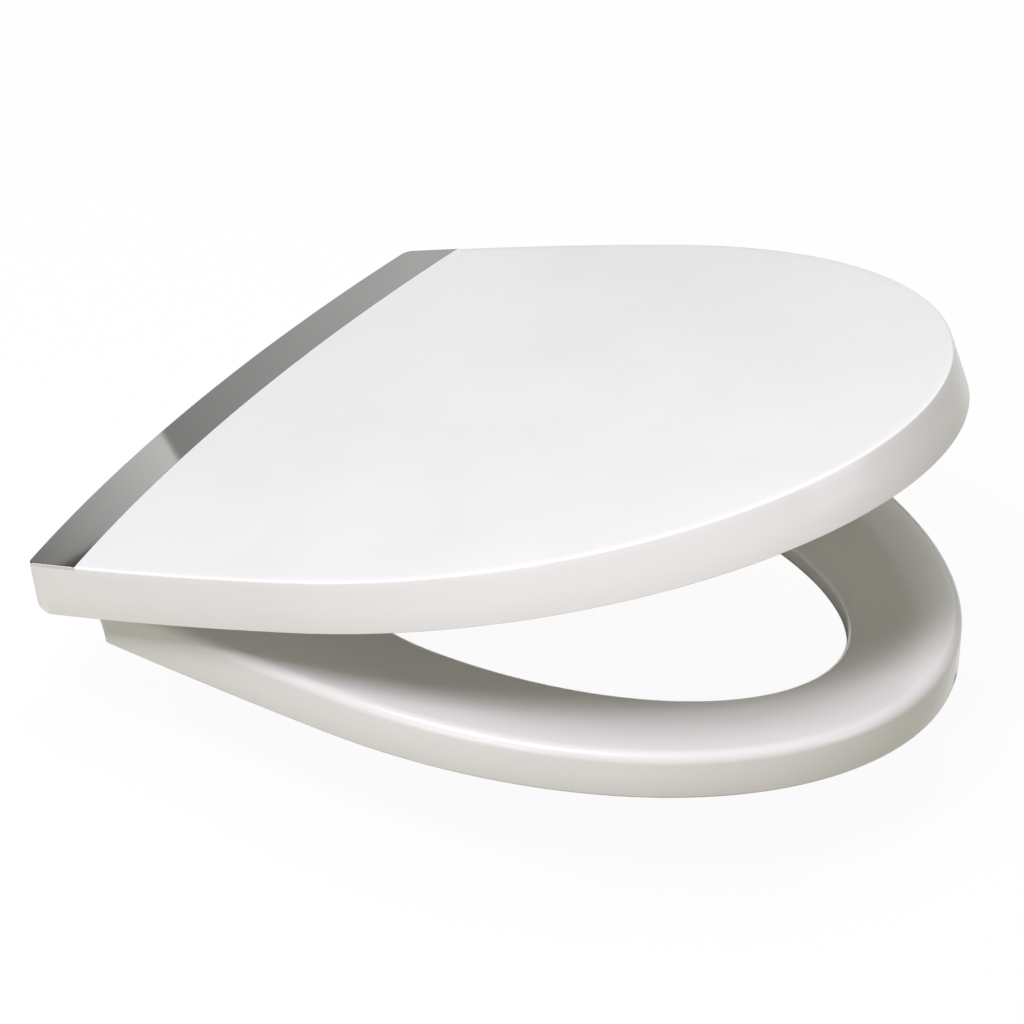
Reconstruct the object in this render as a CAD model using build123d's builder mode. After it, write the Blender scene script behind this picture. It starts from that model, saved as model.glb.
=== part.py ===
"""Toilet seat: moulded lid with a metal hinge strip, dished seat ring, and a pair of bolted hinges.

Millimetres. The origin is midway between the two fixing bolts on top of the bowl, +Z is up and
the front of the seat points to -Y. The lid stands part open about the hinge axis.
"""
import math
import os

from build123d import *

os.makedirs("parts", exist_ok=True)

# Where the seat meets the bowl
BOLT_SPACING = 155.0
BOLT_X = BOLT_SPACING / 2
AXIS_Y = 24.0
AXIS_Z = 25.2
LID_OPEN = 19.27

# Lid, measured with the lid shut, from the hinge axis
LID_TOP = 16.0
LID_PANEL = 5.0
LID_SKIRT = 27.0
LID_WALL = 5.0
LID_DRAFT = 1.8
LID_CORNER_Y = -5.7
LID_REAR_HALF = 176.0
LID_MID_HALF = 185.2
LID_MID_RUN = 167.3
LID_LENGTH = 417.8
LID_BOW = 16.5
LID_CORNER_R = 5.0
LID_EDGE_R = 1.0
LID_HEEL_R = 11.0
LID_OPEN_BACK = 232.0
STRIP_WIDTH = 31.4
STRIP_T = 1.5

# Ring, measured from the bowl and the bolts
RING_Z = 6.2
RING_H = 25.2
RING_REAR_Y = -11.0
RING_LINE_Y = 20.0
LID_OVER_FRONT = 9.6
LID_OVER_SIDE = 15.8
LID_OVER_REAR = 10.0
RING_CORNER_R = 8.0
RING_EDGE_R = 5.5
RING_UNDER_R = 1.5
RING_BACK_CUT = 9.0
RING_BACK_RISE = 12.0
RIM_SIDE = 70.9
RIM_FRONT = 55.0
RIM_REAR = 47.5
HOLE_FORWARD = 17.9
HOLE_LIP = 16.3
HOLE_LIP_R = 8.0
HOLE_UNDER_R = 7.0
CREST_IN = 23.0
CREST_R = 30.0
RECESS_IN = 14.0
RECESS_DEPTH = 13.0
RECESS_START = 94.0

# Hinge
PIN_R = 4.0
PIN_HEAD_R = 6.0
PIN_HEAD_T = 2.0
RUN_GAP = 0.05
SIDE_GAP = 0.1
BUSH_R = 5.5
BUSH_FLANGE_R = 6.6
BUSH_FLANGE_T = 1.0
EYE_R = 7.5
POST_W = 15.0
EYE_W = 15.4
CLIP_T = 1.0
CLIP_R = 5.8
PIN_END = 1.6
STEM_FRONT = -8.0
STEM_BACK = 10.5
FOOT_R = 16.0
FOOT_TOP = 6.0
PAD_T = 2.5
PAD_HOLE_R = 4.6
LEAF_T = 3.0
LID_LEAF_LEN = 52.0
RING_LEAF_END = -68.0
SCREW_R = 1.8
SCREW_HEAD_R = 3.6
SCREW_STEP = 14.0
SCREW_TO_END = 5.0

# Bolt and nut
SHANK_R = 4.0
THREAD_R = 3.6
THREAD_IN = 14.0
CHINA_T = 28.0
BOLT_END = 57.0
CLAMP_T = 6.0
WASHER_T = 1.5
NUT_H = 9.0
NUT_R = 7.5
WING_SPAN = 34.0
WING_T = 4.0
WING_H = 13.0

# Rubber buffers
RING_BUFFER_R = 9.0
LID_BUFFER_R = 6.0
BUFFER_PLUG_R = 4.0
BUFFER_PLUG = 5.0
LID_PLUG_R = 2.5
LID_PLUG = 3.0
LID_BUFFER_GAP = 0.2
FRONT_BUFFER_IN = 74.4
FRONT_BUFFER_BACK = 93.2
REAR_BUFFER_IN = 46.0
REAR_BUFFER_ON = 74.0
LID_BUFFER_IN = 64.4
LID_BUFFER_BACK = 69.2

# Places that follow from the sizes above
RING_MID_Y = RING_LINE_Y - LID_MID_RUN
RING_FRONT_Y = RING_LINE_Y - LID_LENGTH + LID_OVER_FRONT
RING_REAR_HALF = LID_REAR_HALF - LID_OVER_REAR
RING_MID_HALF = LID_MID_HALF - LID_OVER_SIDE
HOLE_HALF = RING_MID_HALF - RIM_SIDE
HOLE_MID_Y = RING_MID_Y - HOLE_FORWARD
HOLE_FRONT_Y = RING_FRONT_Y + RIM_FRONT
HOLE_REAR_Y = RING_REAR_Y - RIM_REAR
RECESS_REAR_Y = RING_REAR_Y - RECESS_START
FRONT_BUFFER_X = RING_MID_HALF - FRONT_BUFFER_IN
FRONT_BUFFER_Y = RING_FRONT_Y + FRONT_BUFFER_BACK
REAR_BUFFER_X = RING_REAR_HALF - REAR_BUFFER_IN
REAR_BUFFER_Y = RING_REAR_Y - REAR_BUFFER_ON
FRONT_BUFFERS = [(FRONT_BUFFER_X, FRONT_BUFFER_Y), (-FRONT_BUFFER_X, FRONT_BUFFER_Y)]
REAR_BUFFERS = [(REAR_BUFFER_X, REAR_BUFFER_Y), (-REAR_BUFFER_X, REAR_BUFFER_Y)]
RING_BUFFERS = FRONT_BUFFERS + REAR_BUFFERS
LID_BUFFER_X = RING_MID_HALF - LID_BUFFER_IN
LID_BUFFER_Y = RING_FRONT_Y + LID_BUFFER_BACK - AXIS_Y
LID_BUFFERS = [(LID_BUFFER_X, LID_BUFFER_Y), (-LID_BUFFER_X, LID_BUFFER_Y)]
PANEL_UNDER = LID_TOP - LID_PANEL
SKIRT_END = LID_TOP - LID_SKIRT
RING_TOP = RING_Z + RING_H
LIP_Z = RING_Z + HOLE_LIP
HEEL_Y = LID_CORNER_Y - LID_HEEL_R
HEEL_Z = SKIRT_END + LID_HEEL_R
LEAF_UNDER = PANEL_UNDER - LEAF_T
POST_IN = BOLT_X - POST_W / 2
POST_OUT = BOLT_X + POST_W / 2
RING_EYE_OUT = POST_IN - SIDE_GAP - BUSH_FLANGE_T
RING_EYE_IN = RING_EYE_OUT - EYE_W
LID_EYE_IN = POST_OUT + SIDE_GAP + BUSH_FLANGE_T
LID_EYE_OUT = LID_EYE_IN + EYE_W
PIN_IN = RING_EYE_IN - SIDE_GAP
CLIP_IN = LID_EYE_OUT + SIDE_GAP
PIN_OUT = CLIP_IN + CLIP_T + PIN_END
RING_UNDER = RING_Z - AXIS_Z
LEAF_TOP = RING_UNDER + LEAF_T
BACK_FACE = RING_REAR_Y - AXIS_Y
WING_TOP = -CHINA_T - CLAMP_T - WASHER_T - 2.0

# Directions of the part-open lid
OPEN_SIN = math.sin(math.radians(LID_OPEN))
OPEN_COS = math.cos(math.radians(LID_OPEN))
BACKWARD = (0, OPEN_COS, -OPEN_SIN)
LID = Plane(origin=(0, AXIS_Y, AXIS_Z), x_dir=(1, 0, 0), z_dir=(0, OPEN_SIN, OPEN_COS))
LID_UP = Axis((0, AXIS_Y, AXIS_Z), (0, OPEN_SIN, OPEN_COS))


def side_plane(x):
    """Upright plane across the hinge axis at one x, for pieces that stay level."""
    return Plane(origin=(x, AXIS_Y, AXIS_Z), x_dir=(0, 1, 0), z_dir=(1, 0, 0))


def lid_side_plane(x):
    """The same plane turned with the lid."""
    return Plane(origin=(x, AXIS_Y, AXIS_Z), x_dir=BACKWARD, z_dir=(1, 0, 0))


def lid_outline(inset):
    """Lid seen from above: bowed rear edge, gently swelling sides and an elliptical front."""
    rear_y = LID_CORNER_Y - inset
    mid_y = LID_CORNER_Y - LID_MID_RUN
    rear = (LID_REAR_HALF - inset, rear_y)
    mid = (LID_MID_HALF - inset, mid_y)
    nose = LID_LENGTH - LID_MID_RUN - inset
    with BuildSketch() as outline:
        with BuildLine():
            ThreePointArc((-rear[0], rear_y), (0, rear_y + LID_BOW), rear)
            TangentArc(mid, rear, tangent=(0, 1))
            EllipticalCenterArc((0, mid_y), mid[0], nose, start_angle=180, arc_size=180)
            TangentArc((-mid[0], mid_y), (-rear[0], rear_y), tangent=(0, 1))
        make_face()
        fillet(outline.vertices().group_by(Axis.Y)[-1], radius=LID_CORNER_R)
    return outline.sketch


def strip_outline(inset):
    """The band along the bowed rear edge that the metal strip covers."""
    radius = (LID_REAR_HALF**2 + LID_BOW**2) / (2 * LID_BOW)
    wide = LID_MID_HALF + LID_REAR_HALF / 4
    crown = LID_CORNER_Y - LID_DRAFT + LID_BOW - STRIP_WIDTH
    drop = radius - math.sqrt(radius**2 - wide**2)
    far = crown - LID_LENGTH - LID_BOW
    with BuildSketch() as band:
        add(lid_outline(inset))
        with BuildLine():
            ThreePointArc((-wide, crown - drop), (0, crown), (wide, crown - drop))
            Polyline((wide, crown - drop), (wide, far), (-wide, far), (-wide, crown - drop))
        make_face(mode=Mode.SUBTRACT)
    return band.sketch


def ring_outline(inset):
    """Ring seen from above: straight rear edge, swelling sides and an elliptical front."""
    rear = (RING_REAR_HALF - inset, RING_REAR_Y - inset)
    mid = (RING_MID_HALF - inset, RING_MID_Y)
    nose = RING_MID_Y - RING_FRONT_Y - inset
    with BuildSketch() as outline:
        with BuildLine():
            Line((-rear[0], rear[1]), rear)
            TangentArc(mid, rear, tangent=(0, 1))
            EllipticalCenterArc((0, RING_MID_Y), mid[0], nose, start_angle=180, arc_size=180)
            TangentArc((-mid[0], mid[1]), (-rear[0], rear[1]), tangent=(0, 1))
        make_face()
        fillet(outline.vertices().group_by(Axis.Y)[-1], radius=RING_CORNER_R)
    return outline.sketch


def oval(half, front_y, rear_y):
    """Egg-shaped opening made of two half ellipses that meet at its widest line."""
    with BuildSketch() as egg:
        with BuildLine():
            EllipticalCenterArc((0, HOLE_MID_Y), half, HOLE_MID_Y - front_y, start_angle=180, arc_size=180)
            EllipticalCenterArc((0, HOLE_MID_Y), half, rear_y - HOLE_MID_Y, start_angle=0, arc_size=180)
        make_face()
    return egg.sketch


# Screw places, left and right
LID_SCREW_Y = SCREW_TO_END + SCREW_STEP - LID_LEAF_LEN
EYE_MID_LID = (LID_EYE_IN + LID_EYE_OUT) / 2
EYE_MID_RING = (RING_EYE_IN + RING_EYE_OUT) / 2
RING_SCREW_Y = AXIS_Y + RING_LEAF_END + SCREW_TO_END
LID_SCREWS_LEFT = [(-EYE_MID_LID, LID_SCREW_Y), (-EYE_MID_LID, LID_SCREW_Y - SCREW_STEP)]
LID_SCREWS = LID_SCREWS_LEFT + [(-x, y) for x, y in LID_SCREWS_LEFT]
RING_SCREWS_LEFT = [(-EYE_MID_RING, RING_SCREW_Y), (-EYE_MID_RING, RING_SCREW_Y + SCREW_STEP)]
RING_SCREWS = RING_SCREWS_LEFT + [(-x, y) for x, y in RING_SCREWS_LEFT]
HEAD_DEPTH = SCREW_HEAD_R - SCREW_R
LID_SCREW_LEN = LEAF_T + LID_PANEL - 1.4
RING_SCREW_LEN = 12.0
BOLTS = [(-BOLT_X, 0), (BOLT_X, 0)]

# Lid: drafted panel and skirt, hollow below, open at the back for the hinges
with BuildPart() as lid:
    with BuildSketch(LID.offset(SKIRT_END)):
        add(lid_outline(0))
    with BuildSketch(LID.offset(LID_TOP)):
        add(lid_outline(LID_DRAFT))
    loft(ruled=True)
    fillet(lid.faces().sort_by(LID_UP)[-1].outer_wire().edges(), radius=LID_EDGE_R)
    with BuildSketch(LID.offset(SKIRT_END)):
        add(lid_outline(LID_WALL))
    with BuildSketch(LID.offset(PANEL_UNDER)):
        add(lid_outline(LID_WALL + LID_DRAFT))
    loft(ruled=True, mode=Mode.SUBTRACT)
    with BuildSketch(LID.offset(PANEL_UNDER)):
        with Locations((0, LID_CORNER_Y + LID_BOW)):
            Rectangle(LID_OPEN_BACK, 3 * LID_BOW)
    extrude(amount=-LID_SKIRT, mode=Mode.SUBTRACT)
    with BuildSketch(lid_side_plane(-LID_MID_HALF)):
        with BuildLine():
            CenterArc((HEEL_Y, HEEL_Z), LID_HEEL_R, start_angle=-90, arc_size=90)
            Polyline((LID_CORNER_Y, HEEL_Z), (2 * LID_BOW, HEEL_Z), (2 * LID_BOW, 2 * SKIRT_END))
            Polyline((2 * LID_BOW, 2 * SKIRT_END), (HEEL_Y, 2 * SKIRT_END), (HEEL_Y, SKIRT_END))
        make_face()
    extrude(amount=2 * LID_MID_HALF, mode=Mode.SUBTRACT)
    with BuildSketch(LID.offset(LID_TOP - STRIP_T)):
        add(strip_outline(-LID_WALL))
    extrude(amount=2 * STRIP_T, mode=Mode.SUBTRACT)
    with BuildSketch(LID.offset(PANEL_UNDER)):
        with Locations(LID_SCREWS):
            Circle(SCREW_R)
    extrude(amount=LID_SCREW_LEN - LEAF_T, mode=Mode.SUBTRACT)
    with BuildSketch(LID.offset(PANEL_UNDER)):
        with Locations(LID_BUFFERS):
            Circle(LID_PLUG_R)
    extrude(amount=LID_PLUG, mode=Mode.SUBTRACT)

# Hinge strip: flat metal inlay, flush with the lid
with BuildPart() as hinge_strip:
    with BuildSketch(LID.offset(LID_TOP - STRIP_T)):
        add(strip_outline(LID_DRAFT))
    extrude(amount=STRIP_T)

# Lid bracket: eye on the axis, web, and a leaf against the panel
with BuildPart() as lid_bracket_left:
    with BuildSketch(lid_side_plane(-LID_EYE_OUT)):
        Circle(EYE_R)
        with BuildLine():
            Polyline((EYE_R * 0.6, 0), (EYE_R * 0.6, PANEL_UNDER), (-LID_LEAF_LEN, PANEL_UNDER))
            Polyline((-LID_LEAF_LEN, PANEL_UNDER), (-LID_LEAF_LEN, LEAF_UNDER), (-2 * EYE_R, LEAF_UNDER))
            Polyline((-2 * EYE_R, LEAF_UNDER), (-EYE_R * 0.9, 0), (EYE_R * 0.6, 0))
        make_face()
        Circle(BUSH_R, mode=Mode.SUBTRACT)
    extrude(amount=EYE_W)
    with BuildSketch(LID.offset(LEAF_UNDER)):
        with Locations(LID_SCREWS_LEFT):
            Circle(SCREW_HEAD_R)
    extrude(amount=HEAD_DEPTH, taper=45, mode=Mode.SUBTRACT)
    with BuildSketch(LID.offset(LEAF_UNDER)):
        with Locations(LID_SCREWS_LEFT):
            Circle(SCREW_R)
    extrude(amount=LEAF_T, mode=Mode.SUBTRACT)

with BuildPart() as lid_bracket_right:
    mirror(lid_bracket_left.part, about=Plane.YZ)

# Lid bush: flanged bearing, flange against the post
with BuildPart() as lid_bush_left:
    with BuildSketch(side_plane(-LID_EYE_OUT)):
        Circle(BUSH_R)
        Circle(PIN_R + RUN_GAP, mode=Mode.SUBTRACT)
    extrude(amount=EYE_W)
    with BuildSketch(side_plane(-LID_EYE_IN)):
        Circle(BUSH_FLANGE_R)
        Circle(PIN_R + RUN_GAP, mode=Mode.SUBTRACT)
    extrude(amount=BUSH_FLANGE_T)

with BuildPart() as lid_bush_right:
    mirror(lid_bush_left.part, about=Plane.YZ)

# Lid screws: countersunk, short enough to stay inside the panel
with BuildPart() as lid_screws:
    with BuildSketch(LID.offset(LEAF_UNDER)):
        with Locations(LID_SCREWS):
            Circle(SCREW_HEAD_R)
    extrude(amount=HEAD_DEPTH, taper=45)
    with BuildSketch(LID.offset(LEAF_UNDER)):
        with Locations(LID_SCREWS):
            Circle(SCREW_R)
    extrude(amount=LID_SCREW_LEN)

# Lid buffers: rubber pads plugged into the panel
with BuildPart() as lid_buffer_left:
    with BuildSketch(LID.offset(PANEL_UNDER)):
        with Locations(LID_BUFFERS[1]):
            Circle(LID_BUFFER_R)
    extrude(amount=-(PANEL_UNDER + AXIS_Z - RING_TOP - LID_BUFFER_GAP))
    fillet(lid_buffer_left.faces().sort_by(LID_UP)[0].edges(), radius=1.0)
    with BuildSketch(LID.offset(PANEL_UNDER)):
        with Locations(LID_BUFFERS[1]):
            Circle(LID_PLUG_R)
    extrude(amount=LID_PLUG)

with BuildPart() as lid_buffer_right:
    mirror(lid_buffer_left.part, about=Plane.YZ)

# Seat ring: solid moulding, top dished from a crest down to the rounded hole
with BuildPart() as seat_ring:
    with BuildSketch(Plane.XY.offset(RING_Z)):
        add(ring_outline(0))
    extrude(amount=RING_H)
    fillet(seat_ring.faces().sort_by(Axis.Z)[-1].outer_wire().edges(), radius=RING_EDGE_R)
    fillet(seat_ring.faces().sort_by(Axis.Z)[0].outer_wire().edges(), radius=RING_UNDER_R)
    with BuildSketch(side_plane(-LID_MID_HALF)):
        with BuildLine():
            Polyline((BACK_FACE - RING_BACK_CUT, RING_UNDER), (BACK_FACE, RING_UNDER + RING_BACK_RISE))
            Polyline((BACK_FACE, RING_UNDER + RING_BACK_RISE), (BACK_FACE + 9, RING_UNDER + RING_BACK_RISE))
            Polyline((BACK_FACE + 9, RING_UNDER + RING_BACK_RISE), (BACK_FACE + 9, RING_UNDER - 9))
            Polyline((BACK_FACE + 9, RING_UNDER - 9), (BACK_FACE - RING_BACK_CUT, RING_UNDER - 9))
            Line((BACK_FACE - RING_BACK_CUT, RING_UNDER - 9), (BACK_FACE - RING_BACK_CUT, RING_UNDER))
        make_face()
    extrude(amount=2 * LID_MID_HALF, mode=Mode.SUBTRACT)
    with BuildSketch(Plane.XY.offset(RING_Z)):
        add(oval(HOLE_HALF, HOLE_FRONT_Y, HOLE_REAR_Y))
    extrude(amount=RING_H, mode=Mode.SUBTRACT)
    with BuildSketch(Plane.XY.offset(RING_Z + HOLE_LIP)):
        add(oval(HOLE_HALF, HOLE_FRONT_Y, HOLE_REAR_Y))
    with BuildSketch(Plane.XY.offset(RING_TOP)):
        add(oval(RING_MID_HALF - CREST_IN, RING_FRONT_Y + CREST_IN, RING_REAR_Y - CREST_IN))
    loft(ruled=True, mode=Mode.SUBTRACT)
    fillet(seat_ring.faces().sort_by(Axis.Z)[-1].inner_wires()[0].edges(), radius=CREST_R)
    fillet(seat_ring.edges().filter_by_position(Axis.Z, LIP_Z - 0.1, LIP_Z + 0.1), radius=HOLE_LIP_R)
    fillet(seat_ring.faces().sort_by(Axis.Z)[0].inner_wires()[0].edges(), radius=HOLE_UNDER_R)
    with BuildSketch(Plane.XY.offset(RING_Z)):
        add(ring_outline(RECESS_IN))
        add(oval(HOLE_HALF + RECESS_IN, HOLE_FRONT_Y - RECESS_IN, HOLE_REAR_Y + RECESS_IN), mode=Mode.SUBTRACT)
        with Locations((0, RECESS_REAR_Y + LID_MID_HALF)):
            Rectangle(2 * LID_MID_HALF, 2 * LID_MID_HALF, mode=Mode.SUBTRACT)
        with Locations(RING_BUFFERS):
            Circle(RING_BUFFER_R + 3.0, mode=Mode.SUBTRACT)
    extrude(amount=RECESS_DEPTH, mode=Mode.SUBTRACT)
    with BuildSketch(Plane.XY.offset(RING_Z)):
        with Locations((-EYE_MID_RING, AXIS_Y + RING_LEAF_END / 2), (EYE_MID_RING, AXIS_Y + RING_LEAF_END / 2)):
            Rectangle(EYE_W, -RING_LEAF_END)
    extrude(amount=LEAF_T, mode=Mode.SUBTRACT)
    with BuildSketch(Plane.XY.offset(RING_Z + LEAF_T)):
        with Locations(RING_SCREWS):
            Circle(SCREW_R)
    extrude(amount=RING_SCREW_LEN - LEAF_T, mode=Mode.SUBTRACT)
    with BuildSketch(Plane.XY.offset(RING_Z)):
        with Locations(RING_BUFFERS):
            Circle(BUFFER_PLUG_R)
    extrude(amount=BUFFER_PLUG, mode=Mode.SUBTRACT)

# Ring bracket: eye on the axis, cranked arm, and a leaf let into the ring's underside
with BuildPart() as ring_bracket_left:
    with BuildSketch(side_plane(-RING_EYE_OUT)):
        Circle(EYE_R)
        with BuildLine():
            Polyline((-1.5, EYE_R * 0.97), (BACK_FACE + 1.5, -8.0), (BACK_FACE - 3.4, LEAF_TOP))
            Polyline((BACK_FACE - 3.4, LEAF_TOP), (RING_LEAF_END, LEAF_TOP), (RING_LEAF_END, RING_UNDER))
            Polyline((RING_LEAF_END, RING_UNDER), (BACK_FACE + 4.0, RING_UNDER), (-1.5, -EYE_R * 0.97))
            Line((-1.5, -EYE_R * 0.97), (-1.5, EYE_R * 0.97))
        make_face()
        Circle(BUSH_R, mode=Mode.SUBTRACT)
    extrude(amount=EYE_W)
    with BuildSketch(Plane.XY.offset(RING_Z)):
        with Locations(RING_SCREWS_LEFT):
            Circle(SCREW_HEAD_R)
    extrude(amount=HEAD_DEPTH, taper=45, mode=Mode.SUBTRACT)
    with BuildSketch(Plane.XY.offset(RING_Z)):
        with Locations(RING_SCREWS_LEFT):
            Circle(SCREW_R)
    extrude(amount=LEAF_T, mode=Mode.SUBTRACT)

with BuildPart() as ring_bracket_right:
    mirror(ring_bracket_left.part, about=Plane.YZ)

# Ring bush: flanged bearing, flange against the post
with BuildPart() as ring_bush_left:
    with BuildSketch(side_plane(-RING_EYE_OUT)):
        Circle(BUSH_R)
        Circle(PIN_R + RUN_GAP, mode=Mode.SUBTRACT)
    extrude(amount=EYE_W)
    with BuildSketch(side_plane(-RING_EYE_OUT)):
        Circle(BUSH_FLANGE_R)
        Circle(PIN_R + RUN_GAP, mode=Mode.SUBTRACT)
    extrude(amount=-BUSH_FLANGE_T)

with BuildPart() as ring_bush_right:
    mirror(ring_bush_left.part, about=Plane.YZ)

# Ring screws: countersunk, up into the ring
with BuildPart() as ring_screws:
    with BuildSketch(Plane.XY.offset(RING_Z)):
        with Locations(RING_SCREWS):
            Circle(SCREW_HEAD_R)
    extrude(amount=HEAD_DEPTH, taper=45)
    with BuildSketch(Plane.XY.offset(RING_Z)):
        with Locations(RING_SCREWS):
            Circle(SCREW_R)
    extrude(amount=RING_SCREW_LEN)

# Ring buffers: rubber feet plugged into the ring, standing on the bowl
with BuildPart() as ring_buffer_front_left:
    with BuildSketch(Plane.XY):
        with Locations(RING_BUFFERS[1]):
            Circle(RING_BUFFER_R)
    extrude(amount=RING_Z)
    fillet(ring_buffer_front_left.faces().sort_by(Axis.Z)[0].edges(), radius=1.5)
    with BuildSketch(Plane.XY.offset(RING_Z)):
        with Locations(RING_BUFFERS[1]):
            Circle(BUFFER_PLUG_R)
    extrude(amount=BUFFER_PLUG)

with BuildPart() as ring_buffer_front_right:
    mirror(ring_buffer_front_left.part, about=Plane.YZ)

with BuildPart() as ring_buffer_rear_left:
    with BuildSketch(Plane.XY):
        with Locations(RING_BUFFERS[3]):
            Circle(RING_BUFFER_R)
    extrude(amount=RING_Z)
    fillet(ring_buffer_rear_left.faces().sort_by(Axis.Z)[0].edges(), radius=1.5)
    with BuildSketch(Plane.XY.offset(RING_Z)):
        with Locations(RING_BUFFERS[3]):
            Circle(BUFFER_PLUG_R)
    extrude(amount=BUFFER_PLUG)

with BuildPart() as ring_buffer_rear_right:
    mirror(ring_buffer_rear_left.part, about=Plane.YZ)

# Hinge post: round foot, upright stem and a swan-neck arm back to the eye
with BuildPart() as hinge_post_left:
    with BuildSketch(side_plane(-POST_OUT)):
        Circle(EYE_R)
        with BuildLine():
            Polyline((0, EYE_R), (STEM_FRONT - AXIS_Y, EYE_R), (STEM_FRONT - AXIS_Y, PAD_T - AXIS_Z))
            Polyline((STEM_FRONT - AXIS_Y, PAD_T - AXIS_Z), (STEM_BACK - AXIS_Y, PAD_T - AXIS_Z))
            Polyline((STEM_BACK - AXIS_Y, PAD_T - AXIS_Z), (STEM_BACK - AXIS_Y, -EYE_R), (0, -EYE_R))
            Line((0, -EYE_R), (0, EYE_R))
        make_face()
        Circle(PIN_R, mode=Mode.SUBTRACT)
    extrude(amount=POST_W)
    fillet(hinge_post_left.edges().filter_by(Axis.X).group_by(Axis.Y)[0].sort_by(Axis.Z)[-1], radius=6.0)
    with BuildSketch(Plane.XY.offset(PAD_T)):
        with Locations((-BOLT_X, 0)):
            Circle(FOOT_R)
    extrude(amount=FOOT_TOP - PAD_T)
    with BuildSketch(Plane.XY.offset(PAD_T)):
        with Locations((-BOLT_X, 0)):
            Circle(THREAD_R)
    extrude(amount=THREAD_IN, mode=Mode.SUBTRACT)

with BuildPart() as hinge_post_right:
    mirror(hinge_post_left.part, about=Plane.YZ)

# Pivot pin: head inside, groove for the clip outside
with BuildPart() as pivot_pin_left:
    with BuildSketch(side_plane(-PIN_OUT)):
        Circle(PIN_R)
    extrude(amount=PIN_OUT - PIN_IN)
    with BuildSketch(side_plane(-PIN_IN)):
        Circle(PIN_HEAD_R)
    extrude(amount=PIN_HEAD_T)
    with BuildSketch(side_plane(-CLIP_IN - CLIP_T)):
        Circle(PIN_R)
        Circle(PIN_R - 0.8, mode=Mode.SUBTRACT)
    extrude(amount=CLIP_T, mode=Mode.SUBTRACT)

with BuildPart() as pivot_pin_right:
    mirror(pivot_pin_left.part, about=Plane.YZ)

# Pin clips: open rings sprung into the grooves
with BuildPart() as pin_clips:
    with BuildSketch(side_plane(-CLIP_IN - CLIP_T)):
        Circle(CLIP_R)
        Circle(PIN_R - 0.8, mode=Mode.SUBTRACT)
        with Locations((0, -CLIP_R)):
            Rectangle(2 * (PIN_R - 1.6), 2 * CLIP_R, mode=Mode.SUBTRACT)
    extrude(amount=CLIP_T)
    mirror(about=Plane.YZ)

# Sealing pads: rubber discs under the feet
with BuildPart() as sealing_pad_left:
    with BuildSketch(Plane.XY):
        with Locations((-BOLT_X, 0)):
            Circle(FOOT_R)
            Circle(PAD_HOLE_R, mode=Mode.SUBTRACT)
    extrude(amount=PAD_T)

with BuildPart() as sealing_pad_right:
    mirror(sealing_pad_left.part, about=Plane.YZ)

# Fixing bolts: thread up into the post, plain shank through the bowl, thread below it
with BuildPart() as fixing_bolts:
    with BuildSketch(Plane.XY):
        with Locations(BOLTS):
            Circle(THREAD_R)
    extrude(amount=PAD_T + THREAD_IN)
    with BuildSketch(Plane.XY):
        with Locations(BOLTS):
            Circle(SHANK_R)
    extrude(amount=-CHINA_T)
    with BuildSketch(Plane.XY.offset(-CHINA_T)):
        with Locations(BOLTS):
            Circle(THREAD_R)
    extrude(amount=CHINA_T - BOLT_END)
    chamfer(fixing_bolts.faces().group_by(Axis.Z)[0].edges(), length=0.8)

# Clamp washers: rubber cones drawn up against the underside of the bowl
with BuildPart() as clamp_washers:
    with BuildSketch(Plane.XY.offset(-CHINA_T - CLAMP_T)):
        with Locations(BOLTS):
            Circle(2.5 * SHANK_R + CLAMP_T * 0.3)
    extrude(amount=CLAMP_T, taper=14)
    with BuildSketch(Plane.XY.offset(-CHINA_T)):
        with Locations(BOLTS):
            Circle(THREAD_R + 0.2)
    extrude(amount=-CLAMP_T, mode=Mode.SUBTRACT)

# Flat washers: between the rubber and the nut
with BuildPart() as flat_washers:
    with BuildSketch(Plane.XY.offset(-CHINA_T - CLAMP_T)):
        with Locations(BOLTS):
            Circle(2.6 * SHANK_R)
            Circle(THREAD_R + 0.2, mode=Mode.SUBTRACT)
    extrude(amount=-WASHER_T)

# Wing nuts: round boss with two upright wings
with BuildPart() as wing_nut_left:
    with BuildSketch(Plane.XY.offset(-CHINA_T - CLAMP_T - WASHER_T)):
        with Locations((-BOLT_X, 0)):
            Circle(NUT_R)
    extrude(amount=-NUT_H)
    with BuildSketch(Plane(origin=(-BOLT_X, 0, WING_TOP), x_dir=(1, 0, 0), z_dir=(0, 1, 0))):
        with Locations((0, WING_H / 2)):
            RectangleRounded(WING_SPAN, WING_H, 3.0)
    extrude(amount=WING_T / 2, both=True)
    with BuildSketch(Plane.XY.offset(-CHINA_T - CLAMP_T - WASHER_T)):
        with Locations((-BOLT_X, 0)):
            Circle(THREAD_R)
    extrude(amount=-NUT_H, mode=Mode.SUBTRACT)
    with BuildSketch(Plane.XY.offset(-CHINA_T - CLAMP_T - WASHER_T - NUT_H)):
        with Locations((-BOLT_X, 0)):
            Circle(NUT_R)
    extrude(amount=-WING_H, mode=Mode.SUBTRACT)

with BuildPart() as wing_nut_right:
    mirror(wing_nut_left.part, about=Plane.YZ)

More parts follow.
